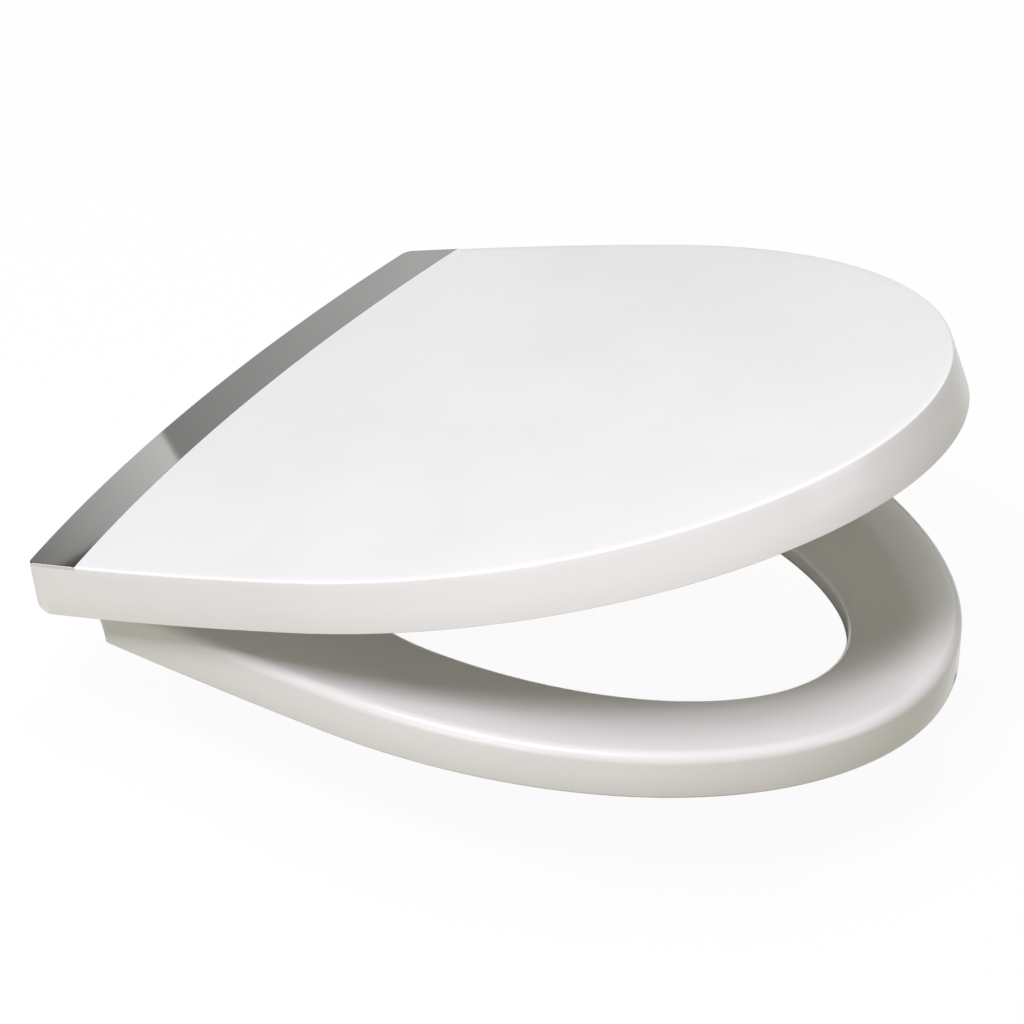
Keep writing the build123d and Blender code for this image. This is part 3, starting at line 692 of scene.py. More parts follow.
@dataclass
class Lid:
    """The moulded lid: flat panel, drafted skirt round sides and front, bowed rear edge."""

    hinge: HingeLine
    top: float = 16.0
    panel: float = 5.0
    skirt: float = 27.0
    wall: float = 5.0
    draft: float = 1.8
    corner_y: float = -5.7
    rear_half: float = 176.0
    mid_half: float = 185.2
    mid_run: float = 167.3
    length: float = 417.8
    bow: float = 16.5
    corner_r: float = 5.0
    edge_r: float = 1.0
    heel_r: float = 11.0
    rim_r: float = 0.6
    inner_r: float = 3.0
    gap_half: float = 116.0
    flat_in: float = 4.0
    wall_steps: Tuple[Pair, ...] = ((11.5, 13.6), (2.0, 13.0))
    rear_laps: Tuple[int, int] = (16, 60)
    corner_laps: int = 12
    side_laps: int = 26
    front_laps: int = 150

    def rear_arc(self, inset: float) -> Tuple[float, float]:
        """Works out the bowed rear edge.

        Args:
            inset: distance in from the skirt's lower edge.

        Returns:
            Radius of the bow and the y of its middle point.
        """
        half = self.rear_half - inset
        radius = (half ** 2 + self.bow ** 2) / (2.0 * self.bow)
        return radius, self.corner_y - inset + self.bow - radius

    def side_arc(self, inset: float) -> Tuple[float, float]:
        """Works out the swelling side.

        Args:
            inset: distance in from the skirt's lower edge.

        Returns:
            Radius of the swell and the x of its middle point.
        """
        rise = self.mid_run - inset
        swell = self.mid_half - self.rear_half
        radius = (rise ** 2 + swell ** 2) / (2.0 * swell)
        return radius, self.mid_half - inset - radius

    def right_corner(self, inset: float) -> np.ndarray:
        """Rounds the rear corner on the right.

        Args:
            inset: distance in from the skirt's lower edge.

        Returns:
            Points in mm, from the rear edge to the side.
        """
        bow_r, bow_y = self.rear_arc(inset)
        side_r, side_x = self.side_arc(inset)
        corner = np.array([self.rear_half - inset, self.corner_y - inset])
        along = np.array([-(corner[1] - bow_y), corner[0]]) / bow_r
        down = np.array([self.mid_run - inset, -(corner[0] - side_x)]) / side_r
        return corner_fillet(corner, along, down, self.corner_r, self.corner_laps)

    def side_x(self, y: np.ndarray, inset: float) -> np.ndarray:
        """Half width of the lid at some y behind its widest line."""
        radius, middle = self.side_arc(inset)
        return middle + np.sqrt(radius ** 2 - (y - self.corner_y + self.mid_run) ** 2)

    def outline(self, inset: float) -> np.ndarray:
        """Lid seen from above, the same number of points at every inset.

        Args:
            inset: distance in from the skirt's lower edge.

        Returns:
            Points in mm, from the left end of the rear edge round by the right side.
        """
        bow_r, bow_y = self.rear_arc(inset)
        corner = self.right_corner(inset)
        mid_y = self.corner_y - self.mid_run
        ends, middle = self.rear_laps
        gap = self.gap_half
        right = np.linspace(gap + 0.1, corner[0, 0], ends)[:-1]
        rear_x = np.concatenate([-right[::-1], np.linspace(-gap + 0.1, gap - 0.1, middle), right])
        rear = np.column_stack([rear_x, bow_y + np.sqrt(bow_r ** 2 - rear_x ** 2)])
        side_y = np.linspace(corner[-1, 1], mid_y, self.side_laps)[1:-1]
        side = np.column_stack([self.side_x(side_y, inset), side_y])
        turn = np.linspace(0.0, -math.pi, self.front_laps)
        nose = self.length - self.mid_run - inset
        front = np.column_stack([(self.mid_half - inset) * np.cos(turn), mid_y + nose * np.sin(turn)])
        return np.concatenate([rear, corner, side, front, side[::-1] * FLIP, corner[::-1] * FLIP])

    def lean(self, z: float) -> float:
        """Inset of the drafted outer wall at a height above the axis."""
        return self.draft * (z - self.top + self.skirt) / self.skirt

    def rim(self, inset: float, z: float, gap: Optional[Pair] = None) -> Loop:
        """One rim of the lid in metres.

        Args:
            inset: distance in from the skirt's lower edge.
            z: height above the axis.
            gap: inset and height along the open part of the rear edge, where they differ.

        Returns:
            The rim's points.
        """
        flat = self.outline(inset)
        height = np.full(len(flat), z)
        if gap is not None:
            open_part = slice(self.rear_laps[0] - 1, self.rear_laps[0] - 1 + self.rear_laps[1])
            flat[open_part] = self.outline(gap[0])[open_part]
            height[open_part] = gap[1]
        return self.hinge.lid(np.column_stack([flat, height]))

    def build(self) -> bpy.types.Object:
        """Models the lid from the middle of its top, over the edge and back up inside.

        Returns:
            The lid, not yet cut.
        """
        foot = self.top - self.skirt
        under = self.top - self.panel
        back = self.lean(under)
        shell = Shell("lid_moulding", self.rim(self.draft + self.edge_r + self.flat_in, self.top))
        shell.grow(self.rim(self.draft + self.edge_r, self.top))
        for step in EDGE_STEPS:
            z = self.top - self.edge_r * (1.0 - math.cos(step))
            shell.grow(self.rim(self.lean(z) + self.edge_r * (1.0 - math.sin(step)), z))
        for z, gap_z in self.wall_steps + ((foot + self.rim_r, under + self.rim_r),):
            shell.grow(self.rim(self.lean(z), z, (self.lean(gap_z), gap_z)))
        for step in SMALL_STEPS:
            inset = self.rim_r * (1.0 - math.cos(step))
            rise = self.rim_r * (1.0 - math.sin(step))
            shell.grow(self.rim(inset, foot + rise, (back + inset, under + rise)))
        for inset, rise in ((self.wall - 1.0, 0.0), (self.wall - 0.3, 0.3), (self.wall, 1.0)):
            shell.grow(self.rim(inset, foot + rise, (inset, under)))
        start = self.wall + self.draft * 0.8
        shell.grow(self.rim(start, under - self.inner_r, (start, under)))
        for step in SMALL_STEPS:
            inset = self.wall + self.draft + self.inner_r * (1.0 - math.cos(step)) - 0.2
            shell.grow(self.rim(inset, under - self.inner_r * (1.0 - math.sin(step)), (inset, under)))
        shell.grow(self.rim(self.wall + self.draft + self.inner_r + self.flat_in, under))
        return shell.cap_both().done()

    def heel_cutter(self) -> bpy.types.Object:
        """Models the block that rounds the skirt's lower rear corner, seen from the side.

        Returns:
            The cutter.
        """
        foot = self.top - self.skirt
        high = foot + self.heel_r
        view = arc((self.corner_y - self.heel_r, high), self.heel_r, -90.0, 0.0, 15)
        view += [(40.0, high), (40.0, foot - 9.0), (self.corner_y - self.heel_r, foot - 9.0)]
        return plate("heel_cutter", view, -self.mid_half - 9.0, self.mid_half + 9.0, self.hinge.lid)


@dataclass
class HingeStrip:
    """The metal strip let into the lid along its rear edge."""

    lid: Lid
    width: float = 31.4
    thick: float = 1.5
    edge_r: float = 0.4
    joint_break: float = 0.15
    joint_gap: float = 0.05
    over_cut: float = 4.0
    joint_laps: int = 90
    end_laps: int = 10

    def joint_y(self, x: np.ndarray) -> np.ndarray:
        """Works out the strip's front edge, the rear bow moved forward.

        Args:
            x: places across the lid.

        Returns:
            The y of the edge at each place.
        """
        radius = self.lid.rear_arc(0.0)[0]
        crown = self.lid.corner_y - self.lid.draft + self.lid.bow - self.width
        return crown - radius + np.sqrt(radius ** 2 - np.asarray(x, float) ** 2)

    def outline(self, inset: float, joint_back: float = 0.0) -> np.ndarray:
        """The strip seen from above.

        Args:
            inset: distance in from the skirt's lower edge, on the outside.
            joint_back: how far the front edge is drawn back.

        Returns:
            Points in mm, rear edge first, front edge last.
        """
        rear = self.lid.outline(inset)[:2 * self.lid.rear_laps[0] - 2 + self.lid.rear_laps[1]]
        corner = self.lid.right_corner(inset)
        x = self.lid.mid_half
        for _ in range(8):
            y = float(self.joint_y(np.array([x]))[0]) + joint_back
            x = float(self.lid.side_x(np.array([y]), inset)[0])
        end_y = np.linspace(corner[-1, 1], y, self.end_laps)[1:]
        end = np.column_stack([self.lid.side_x(end_y, inset), end_y])
        joint_x = np.linspace(x, -x, self.joint_laps)[1:-1]
        joint = np.column_stack([joint_x, self.joint_y(joint_x) + joint_back])
        return np.concatenate([rear, corner, end, joint, end[::-1] * FLIP, corner[::-1] * FLIP])

    def rim(self, inset: float, z: float, joint_back: float = 0.0) -> Loop:
        """One rim of the strip in metres."""
        flat = self.outline(inset, joint_back)
        return self.lid.hinge.lid(np.column_stack([flat, np.full(len(flat), z)]))

    def cutter(self) -> bpy.types.Object:
        """Models the block that cuts the strip's rebate into the lid.

        Returns:
            The cutter.
        """
        low = self.lid.top - self.thick
        shell = Shell("rebate_cutter", self.rim(-self.over_cut, low))
        return shell.grow(self.rim(-self.over_cut, low + self.over_cut)).cap_both().done()

    def build(self) -> bpy.types.Object:
        """Models the strip with rounded outer edges and a crisp joint to the lid.

        Returns:
            The strip.
        """
        lid = self.lid
        low = lid.top - self.thick
        shell = Shell("strip_trim", self.rim(lid.draft - 0.1, low, self.joint_gap))
        shell.grow(self.rim(lid.draft - 0.02, lid.top - self.edge_r, self.joint_gap))
        for step in EDGE_STEPS:
            rise = math.sin(step)
            back = self.joint_gap + self.joint_break * (1.0 - math.cos(step))
            shell.grow(self.rim(lid.draft + self.edge_r * (1.0 - math.cos(step)),
                                lid.top - self.edge_r * (1.0 - rise), back))
        shell.grow(self.rim(lid.draft + self.edge_r + 0.12, lid.top, 0.3))
        return shell.cap_both().done()


# The seat ring.


@dataclass
class SeatRing:
    """The moulded ring: dished top with a crest, oval hole, hollowed underside."""

    low: float = 6.2
    high: float = 31.4
    rear_y: float = -11.0
    rear_half: float = 166.0
    mid_half: float = 169.4
    mid_y: float = -147.3
    front_y: float = -388.17
    corner_r: float = 8.0
    edge_r: float = 5.5
    under_r: float = 1.5
    back_cut: float = 9.0
    back_rise: float = 12.0
    hole_half: float = 98.5
    hole_mid_y: float = -165.2
    hole_front_y: float = -333.2
    hole_rear_y: float = -58.5
    lip_z: float = 22.5
    lip_r: float = 8.0
    hole_under_r: float = 7.0
    crest_in: float = 23.0
    crest_soft: float = 10.0
    recess_in: float = 14.0
    recess_depth: float = 13.0
    recess_rear_y: float = -105.0
    feet: Tuple[Pair, ...] = ((95.0, -295.0), (-95.0, -295.0), (120.0, -85.0), (-120.0, -85.0))
    foot_land: float = 12.0
    leaf_x: float = 61.2
    leaf_w: float = 15.4
    leaf_end_y: float = -44.0
    leaf_t: float = 3.0
    rear_laps: int = 70
    corner_laps: int = 12
    side_laps: int = 36
    front_laps: int = 150

    def outline(self, inset: float) -> np.ndarray:
        """Ring seen from above, the same number of points at every inset.

        Args:
            inset: distance in from the outer wall.

        Returns:
            Points in mm, from the left end of the rear edge round by the right side.
        """
        half, rear = self.rear_half - inset, self.rear_y - inset
        mid = self.mid_half - inset
        rise, swell = rear - self.mid_y, self.mid_half - self.rear_half
        radius = (rise ** 2 + swell ** 2) / (2.0 * swell)
        middle = mid - radius
        down = np.array([rise, -(half - middle)]) / radius
        corner = corner_fillet(np.array([half, rear]), np.array([-1.0, 0.0]), down, self.corner_r,
                               self.corner_laps)
        rear_x = np.linspace(-corner[0, 0], corner[0, 0], self.rear_laps)[1:-1]
        back = np.column_stack([rear_x, np.full(len(rear_x), rear)])
        side_y = np.linspace(corner[-1, 1], self.mid_y, self.side_laps)[1:-1]
        side = np.column_stack([middle + np.sqrt(radius ** 2 - (side_y - self.mid_y) ** 2), side_y])
        turn = np.linspace(0.0, -math.pi, self.front_laps)
        nose = self.mid_y - self.front_y - inset
        front = np.column_stack([mid * np.cos(turn), self.mid_y + nose * np.sin(turn)])
        return np.concatenate([back, corner, side, front, side[::-1] * FLIP, corner[::-1] * FLIP])

    def spokes(self) -> np.ndarray:
        """Angle of each lap seen from the middle of the hole."""
        flat = self.outline(0.0)
        return np.arctan2(flat[:, 1] - self.hole_mid_y, flat[:, 0])

    def oval(self, half: float, front_y: float, rear_y: float) -> np.ndarray:
        """An egg-shaped line about the middle of the hole, one point on each spoke.

        Args:
            half: half width.
            front_y: foremost y.
            rear_y: rearmost y.

        Returns:
            Points in mm.
        """
        angle = self.spokes()
        deep = np.where(np.sin(angle) < 0.0, self.hole_mid_y - front_y, rear_y - self.hole_mid_y)
        reach = 1.0 / np.sqrt((np.cos(angle) / half) ** 2 + (np.sin(angle) / deep) ** 2)
        return np.column_stack([reach * np.cos(angle), self.hole_mid_y + reach * np.sin(angle)])

    def hole(self, out: float) -> np.ndarray:
        """The hole's edge, moved outwards."""
        return self.oval(self.hole_half + out, self.hole_front_y - out, self.hole_rear_y + out)

    def crest(self) -> np.ndarray:
        """The line along the top where the dish begins."""
        return self.oval(self.mid_half - self.crest_in, self.front_y + self.crest_in,
                         self.rear_y - self.crest_in)

    def rim(self, flat: np.ndarray, z: Any) -> Loop:
        """One rim, with the lower rear edge sloped forward.

        Args:
            flat: its points seen from above, in mm.
            z: its height, one for all or one for each point.

        Returns:
            The rim's points in metres.
        """
        height = np.broadcast_to(np.asarray(z, float), (len(flat),))
        short = np.clip(self.low + self.back_rise - height, 0.0, None)
        limit = self.rear_y - self.back_cut * short / self.back_rise
        return level(np.column_stack([flat[:, 0], np.minimum(flat[:, 1], limit), height]))

    def build(self) -> bpy.types.Object:
        """Models the ring from below, up the outer wall, over the crest and down the hole.

        Returns:
            The ring, not yet hollowed.
        """
        wall_top = self.high - self.edge_r
        shell = Shell("ring_moulding", self.rim(self.outline(self.under_r + 5.0), self.low))
        shell.grow(self.rim(self.outline(self.under_r), self.low))
        for step in SMALL_STEPS:
            shell.grow(self.rim(self.outline(self.under_r * (1.0 - math.sin(step))),
                                self.low + self.under_r * (1.0 - math.cos(step))))
        shell.grow(self.rim(self.outline(0.0), self.low + self.back_rise - 0.4))
        shell.grow(self.rim(self.outline(0.0), self.low + self.back_rise + 0.4))
        shell.grow(self.rim(self.outline(0.0), wall_top))
        for step in np.radians(np.arange(10.0, 91.0, 10.0)):
            shell.grow(self.rim(self.outline(self.edge_r * (1.0 - math.cos(step))),
                                wall_top + self.edge_r * math.sin(step)))
        self._grow_dish(shell)
        shell.grow(self.rim(self.hole(0.0), self.low + self.hole_under_r))
        for step in np.radians(np.arange(15.0, 91.0, 15.0)):
            shell.grow(self.rim(self.hole(self.hole_under_r * (1.0 - math.cos(step))),
                                self.low + self.hole_under_r * (1.0 - math.sin(step))))
        shell.grow(self.rim(self.hole(self.hole_under_r + 4.0), self.low))
        return shell.bridge_ends().done()

    def _grow_dish(self, shell: Shell) -> None:
        """Grows the top from the crest down into the hole.

        Args:
            shell: the ring, grown as far as the top of its outer edge.
        """
        brow = self.outline(self.edge_r)
        crest, edge = self.crest(), self.hole(0.0)
        run = np.linalg.norm(crest - edge, axis=1)
        inward = (edge - crest) / run[:, None]
        slope = (self.high - self.lip_z) / run
        soft = self.crest_soft
        outer = crest - inward * soft
        for share in (0.35, 0.7):
            shell.grow(self.rim(brow + (outer - brow) * share, self.high))
        for past in np.linspace(-soft, soft, 11):
            shell.grow(self.rim(crest + inward * past, self.high - slope * (past + soft) ** 2 / (4.0 * soft)))
        tilt = np.arctan(slope)
        mid_z = self.lip_z + self.lip_r * slope - self.lip_r / np.cos(tilt)
        start = self.lip_r * (1.0 - np.sin(tilt))
        for share in (0.2, 0.4, 0.6, 0.8, 0.93):
            reach = soft + (run - start - soft) * share
            shell.grow(self.rim(crest + inward * reach[:, None], self.high - slope * reach))
        for share in np.linspace(0.0, 1.0, 12):
            lean = tilt + (math.pi / 2.0 - tilt) * share
            reach = run - self.lip_r * (1.0 - np.sin(lean))
            shell.grow(self.rim(crest + inward * reach[:, None], mid_z + self.lip_r * np.cos(lean)))

    def hollow(self) -> bpy.types.Object:
        """Models the block that hollows the underside, with lands left for the front feet.

        Returns:
            The cutter.
        """
        outer, inner = self.outline(self.recess_in), self.hole(self.recess_in)
        ahead = (outer[:, 1] < self.recess_rear_y) & (inner[:, 1] < self.recess_rear_y)
        flat = np.concatenate([outer[ahead], inner[ahead][::-1]])
        foot = level(np.column_stack([flat, np.full(len(flat), self.low - 4.0)]))
        roof = level(np.column_stack([flat, np.full(len(flat), self.low + self.recess_depth)]))
        block = Shell("hollow_cutter", foot).grow(roof).cap_both().done()
        land = [(self.foot_land, self.low - 9.0), (self.foot_land, self.high)]
        for spot in self.feet[:2]:
            cut_away(block, turned("land_cutter", land, spot))
        return block

    def slot_cutters(self) -> List[bpy.types.Object]:
        """Models the blocks that let the hinge leaves into the underside.

        Returns:
            The left and the right cutter.
        """
        half = self.leaf_w / 2.0 + 0.05
        front, back, below, top = self.leaf_end_y - 0.1, 8.0, self.low - 5.0, self.low + self.leaf_t
        view = [(front, below), (back, below), (back, top), (front, top)]
        return [plate("slot_cutter", view, side.value * self.leaf_x - half, side.value * self.leaf_x + half,
                      level) for side in Side]


# The hinge hardware.


def joined(name: str, pieces: Sequence[bpy.types.Object]) -> bpy.types.Object:
    """Makes one object of several loose pieces.

    Args:
        name: name of the result.
        pieces: the pieces, the first of which stays.

    Returns:
        The joined object.
    """
    select_only(pieces[0])
    for piece in pieces[1:]:
        piece.select_set(True)
    bpy.ops.object.join()
    pieces[0].name = name
    pieces[0].data.name = name
    return pieces[0]


@dataclass
class HingePost:
    """Cast swan-neck post: round foot on the bowl, stem, and an arm back to the eye."""

    hinge: HingeLine
    bolt_x: float = 77.5
    width: float = 15.0
    eye_r: float = 7.5
    stem_front: float = -8.0
    stem_back: float = 10.5
    brow_r: float = 6.0
    throat_r: float = 5.0
    foot_r: float = 16.0
    foot_low: float = 2.5
    foot_top: float = 6.0
    edge: float = 1.0

    def build(self) -> bpy.types.Object:
        """Models the left post.

        Returns:
            The post.
        """
        front, back = self.stem_front - self.hinge.y, self.stem_back - self.hinge.y
        low = self.foot_low - self.hinge.z + 0.2
        r = self.eye_r
        view = arc((0.0, 0.0), r, -90.0, 90.0, 25)
        view += arc((front + self.brow_r, r - self.brow_r), self.brow_r, 90.0, 180.0, 9)
        view += [(front, low), (back, low)]
        view += arc((back + self.throat_r, -r - self.throat_r), self.throat_r, 180.0, 90.0, 9)
        post = plate("post_casting_left", view, -self.bolt_x - self.width / 2, -self.bolt_x + self.width / 2,
                     self.hinge.level)
        soften(post, self.edge, 3)
        fr, lo, hi = self.foot_r, self.foot_low, self.foot_top
        profile = [(fr - 0.3, lo), (fr, lo + 0.3), (fr, hi - 1.2), (fr - 0.35, hi - 0.35), (fr - 1.2, hi),
                   (fr - 4.0, hi)]
        add_to(post, turned("foot", profile, (-self.bolt_x, 0.0), laps=64))
        smooth(post, 40.0)
        return post


@dataclass
class PivotPin:
    """Turned steel pin with a domed head and a groove for its clip."""

    hinge: HingeLine
    radius: float = 4.0
    end_x: float = 104.2
    groove: Pair = (102.6, 101.6)
    groove_r: float = 3.2
    head_x: Pair = (53.4, 51.4)
    head_r: float = 6.0

    def build(self) -> bpy.types.Object:
        """Models the left pin.

        Returns:
            The pin.
        """
        r, head, out, neck = self.radius, self.head_r, self.end_x, self.groove_r
        (far, near), (under, crown) = self.groove, self.head_x
        profile = [(r - 1.2, -out), (r - 0.6, -out), (r, -out + 0.6), (r, -far), (neck, -far), (neck, -near),
                   (r, -near), (r, -under), (head - 0.3, -under), (head, -under + 0.3), (head, -crown - 0.8),
                   (head - 0.5, -crown - 0.35), (head - 1.6, -crown - 0.08), (head - 3.5, -crown)]
        pin = turned("pin_turned_left", profile, (0.0, 0.0), self.hinge.across, 40)
        smooth(pin, 35.0)
        return pin


@dataclass
class CrossScrew:
    """Countersunk screw with a cross slot."""

    head_r: float = 3.6
    shank_r: float = 1.8
    slot_w: float = 0.9
    slot_l: float = 4.2
    slot_d: float = 1.5

    def sink_cutter(self, place: Place, low: float) -> bpy.types.Object:
        """The cone that cuts the seat of one head.

        Args:
            place: takes points about the screw to metres.
            low: height of the face it is cut from.

        Returns:
            The cutter.
        """
        wide, thin = self.head_r + 0.12, self.shank_r + 0.06
        profile = [(wide, low - 2.0), (wide, low), (thin, low + wide - thin), (thin, low + 7.0)]
        return turned("sink_cutter", profile, (0.0, 0.0), place, 32)

    def build(self, name: str, place: Place, low: float, length: float) -> bpy.types.Object:
        """Models one screw, head down.

        Args:
            name: the piece's name.
            place: takes points about the screw to metres.
            low: height of the head's flat.
            length: whole length.

        Returns:
            The screw.
        """
        r, s = self.head_r, self.shank_r
        profile = [(r - 1.2, low + 0.05), (r - 0.25, low + 0.05), (r, low + 0.25), (s, low + 0.25 + r - s),
                   (s, low + length - 1.0), (s * 0.4, low + length)]
        screw = turned(name, profile, (0.0, 0.0), place, 32)
        half, deep = self.slot_l / 2, low + self.slot_d
        view = [(-half, low - 1.0), (half, low - 1.0), (half * 0.55, deep), (-half * 0.55, deep)]
        cut_away(screw, plate("slot", view, -self.slot_w / 2, self.slot_w / 2, place))
        cut_away(screw, plate("slot", view, -self.slot_w / 2, self.slot_w / 2,
                              lambda pts: place(np.column_stack([pts[:, 1], -pts[:, 0], pts[:, 2]]))))
        smooth(screw, 35.0)
        return screw


@dataclass
class Brackets:
    """The metal eyes and leaves that carry the lid and the ring, with their screws."""

    hinge: HingeLine
    eye_r: float = 7.5
    width: float = 15.4
    lid_x: float = 86.1
    ring_x: float = 53.5
    lid_leaf: float = 52.0
    leaf_t: float = 3.0
    panel_under: float = 11.0
    ring_under: float = -19.0
    ring_leaf: float = 68.0
    ring_back: float = -35.0
    lid_screw_y: Pair = (-33.0, -47.0)
    ring_screw_y: Pair = (-63.0, -49.0)
    lid_screw_len: float = 6.6
    ring_screw_len: float = 12.0
    edge: float = 0.6
    screw: CrossScrew = field(default_factory=CrossScrew)

    def lid_bracket(self) -> bpy.types.Object:
        """Models the left lid bracket: eye, web and leaf against the panel.

        Returns:
            The bracket.
        """
        r, top, low = self.eye_r, self.panel_under, self.panel_under - self.leaf_t
        view = [(0.6 * r, top), (-self.lid_leaf, top), (-self.lid_leaf, low), (-2.0 * r, low)]
        view += arc((0.0, 0.0), r, 174.7, 413.13, 33)
        piece = plate("lid_leaf_left", view, -self.lid_x - self.width, -self.lid_x, self.hinge.lid)
        soften(piece, self.edge)
        for y in self.lid_screw_y:
            cut_away(piece, self.screw.sink_cutter(self.lid_place(y), low))
        smooth(piece, 40.0)
        return piece

    def ring_bracket(self) -> bpy.types.Object:
        """Models the left ring bracket: eye, cranked arm and leaf under the ring.

        Returns:
            The bracket.
        """
        r, low, top = self.eye_r, self.ring_under, self.ring_under + self.leaf_t
        back = self.ring_back
        view = [(back + 1.5, -8.0), (back - 3.4, top), (-self.ring_leaf, top), (-self.ring_leaf, low),
                (back + 4.0, low)]
        view += arc((0.0, 0.0), 0.99 * r, 258.35, 461.65, 29)
        piece = plate("ring_leaf_left", view, -self.ring_x - self.width, -self.ring_x, self.hinge.level)
        soften(piece, self.edge)
        for y in self.ring_screw_y:
            cut_away(piece, self.screw.sink_cutter(self.ring_place(y), low))
        smooth(piece, 40.0)
        return piece

    def lid_place(self, y: float) -> Place:
        """Places points about one lid screw on the left."""
        return lambda pts: self.hinge.lid(pts + np.array([-self.lid_x - self.width / 2, y, 0.0]))

    def ring_place(self, y: float) -> Place:
        """Places points about one ring screw on the left."""
        return lambda pts: self.hinge.level(pts + np.array([-self.ring_x - self.width / 2, y, 0.0]))

    def screws(self, name: str, place: Callable[[float], Place], ys: Pair, low: float,
               length: float) -> bpy.types.Object:
        """Models one screw and copies it to the other three places.

        Args:
            name: name of the set.
            place: gives the placing of a screw at one y.
            ys: the two places along a leaf.
            low: height of the head's flat.
            length: whole length of a screw.

        Returns:
            The four screws as one object.
        """
        first = self.screw.build(name, place(ys[0]), low, length)
        origin = np.zeros((1, 3))
        step = Vector((place(ys[1])(origin) - place(ys[0])(origin))[0])
        pair = [first, copied(first, name, Matrix.Translation(step))]
        pair += [mirrored(piece, name) for piece in list(pair)]
        return joined(name, pair)


@dataclass
class BowlFixing:
    """Pads, bolts, washers and wing nuts that clamp the posts to the bowl."""

    bolt_x: float = 77.5
    pad_r: float = 16.0
    pad_t: float = 2.5
    pad_bore: float = 4.6
    bolt_top: float = 16.4
    china: float = 28.0
    bolt_end: float = 57.0
    stud_r: float = 3.5
    shank_r: float = 4.0
    crest_r: float = 3.95
    root_r: float = 3.35
    pitch: float = 1.25
    clamp_t: float = 6.0
    clamp_bore: float = 3.8
    washer_t: float = 1.5
    washer_bore: float = 3.85
    washer_r: float = 10.4
    nut_h: float = 9.0
    nut_r: float = 7.5
    nut_bore: float = 3.7
    wing_reach: float = 17.0
    wing_low: float = -50.5
    wing_t: float = 4.0
    wing_edge: float = 1.1

    def pad(self) -> bpy.types.Object:
        """Models the left sealing pad with a bulging edge.

        Returns:
            The pad.
        """
        r, t, bore = self.pad_r, self.pad_t, self.pad_bore
        profile = [(bore, 0.2), (bore, t - 0.2), (bore + 0.2, t), (r - 0.5, t), (r - 0.12, t - 0.3),
                   (r, t / 2), (r - 0.12, 0.3), (r - 0.5, 0.0), (r - 3.0, 0.0), (r - 3.4, 0.4),
                   (r - 4.4, 0.4), (r - 4.8, 0.0), (bore + 0.2, 0.0)]
        pad = turned("pad_rubber_left", profile, (-self.bolt_x, 0.0), hollow=True, laps=64)
        smooth(pad, 40.0)
        return pad

    def bolt(self) -> bpy.types.Object:
        """Models the left bolt with a cut thread below its plain shank.

        Returns:
            The bolt.
        """
        laps = 36
        turn = np.linspace(0.0, 2.0 * math.pi, laps, endpoint=False)

        def rim(radius: Any, z: float) -> Loop:
            """One rim of the bolt at a height."""
            return level(np.column_stack([-self.bolt_x + radius * np.cos(turn), radius * np.sin(turn),
                                          np.full(laps, z)]))

        shell = Shell("bolt_left", rim(2.6, self.bolt_top))
        shell.grow(rim(self.stud_r, self.bolt_top - 0.8)).grow(rim(self.stud_r, 0.6))
        shell.grow(rim(self.shank_r, 0.0)).grow(rim(self.shank_r, -self.china + 0.5))
        shell.grow(rim(self.root_r, -self.china - 0.3))
        low = -self.bolt_end + 0.9
        for z in np.arange(-self.china - 0.6, low, -self.pitch / 6.0):
            phase = (z / self.pitch + turn / (2.0 * math.pi)) % 1.0
            flank = np.clip(1.6 * np.abs(2.0 * phase - 1.0) - 0.3, 0.0, 1.0)
            shell.grow(rim(self.root_r + (self.crest_r - self.root_r) * flank, z))
        shell.grow(rim(self.root_r, low)).grow(rim(self.root_r - 0.7, -self.bolt_end))
        bolt = shell.cap_both().done()
        smooth(bolt, 45.0)
        return bolt

    def clamp(self) -> bpy.types.Object:
        """Models the left rubber cone under the bowl.

        Returns:
            The cone.
        """
        low, high = -self.china - self.clamp_t, -self.china
        bore = self.clamp_bore
        profile = [(bore, low), (bore, high), (9.6, high), (10.2, high - 0.4), (11.6, low + 1.0),
                   (11.75, low + 0.5), (11.3, low)]
        cone = turned("clamp_left", profile, (-self.bolt_x, 0.0), hollow=True)
        smooth(cone, 40.0)
        return cone

    def washer(self) -> bpy.types.Object:
        """Models the left flat washer with a punched, rounded rim.

        Returns:
            The washer.
        """
        high = -self.china - self.clamp_t
        low = high - self.washer_t
        bore, r = self.washer_bore, self.washer_r
        profile = [(bore, low + 0.1), (bore, high - 0.1), (4.0, high), (9.9, high), (10.3, high - 0.25),
                   (r, high - 0.6), (r, low + 0.2), (10.2, low), (4.0, low)]
        disc = turned("washer_left", profile, (-self.bolt_x, 0.0), hollow=True)
        smooth(disc, 40.0)
        return disc

    def wing_nut(self) -> bpy.types.Object:
        """Models the left wing nut: round boss and two flaring wings.

        Returns:
            The wing nut.
        """
        high = -self.china - self.clamp_t - self.washer_t
        low, r = high - self.nut_h, self.nut_r
        profile = [(self.nut_bore, low + 0.4), (self.nut_bore, high), (r - 0.4, high), (r, high - 0.4),
                   (r, low + 2.0), (r - 0.4, low + 0.8), (r - 1.4, low + 0.1), (4.2, low)]
        boss = turned("nut_left", profile, (-self.bolt_x, 0.0), hollow=True)
        reach, tip = self.wing_reach, self.wing_low
        view = [(5.2, high - 2.6)] + arc((reach - 4.0, high - 6.0), 4.0, 90.0, 0.0, 8)
        view += arc((reach - 3.0, tip + 3.0), 3.0, 0.0, -90.0, 8)
        view += arc((10.6, tip + 3.0), 3.0, -90.0, -180.0, 8) + [(7.2, low - 0.4), (5.2, low + 0.6)]
        for side in Side:
            def outwards(points: Loop, sign: int = side.value) -> Loop:
                """Points of a wing that reaches out to one side, to metres."""
                return level(np.column_stack([sign * points[:, 1] - self.bolt_x, points[:, 0], points[:, 2]]))

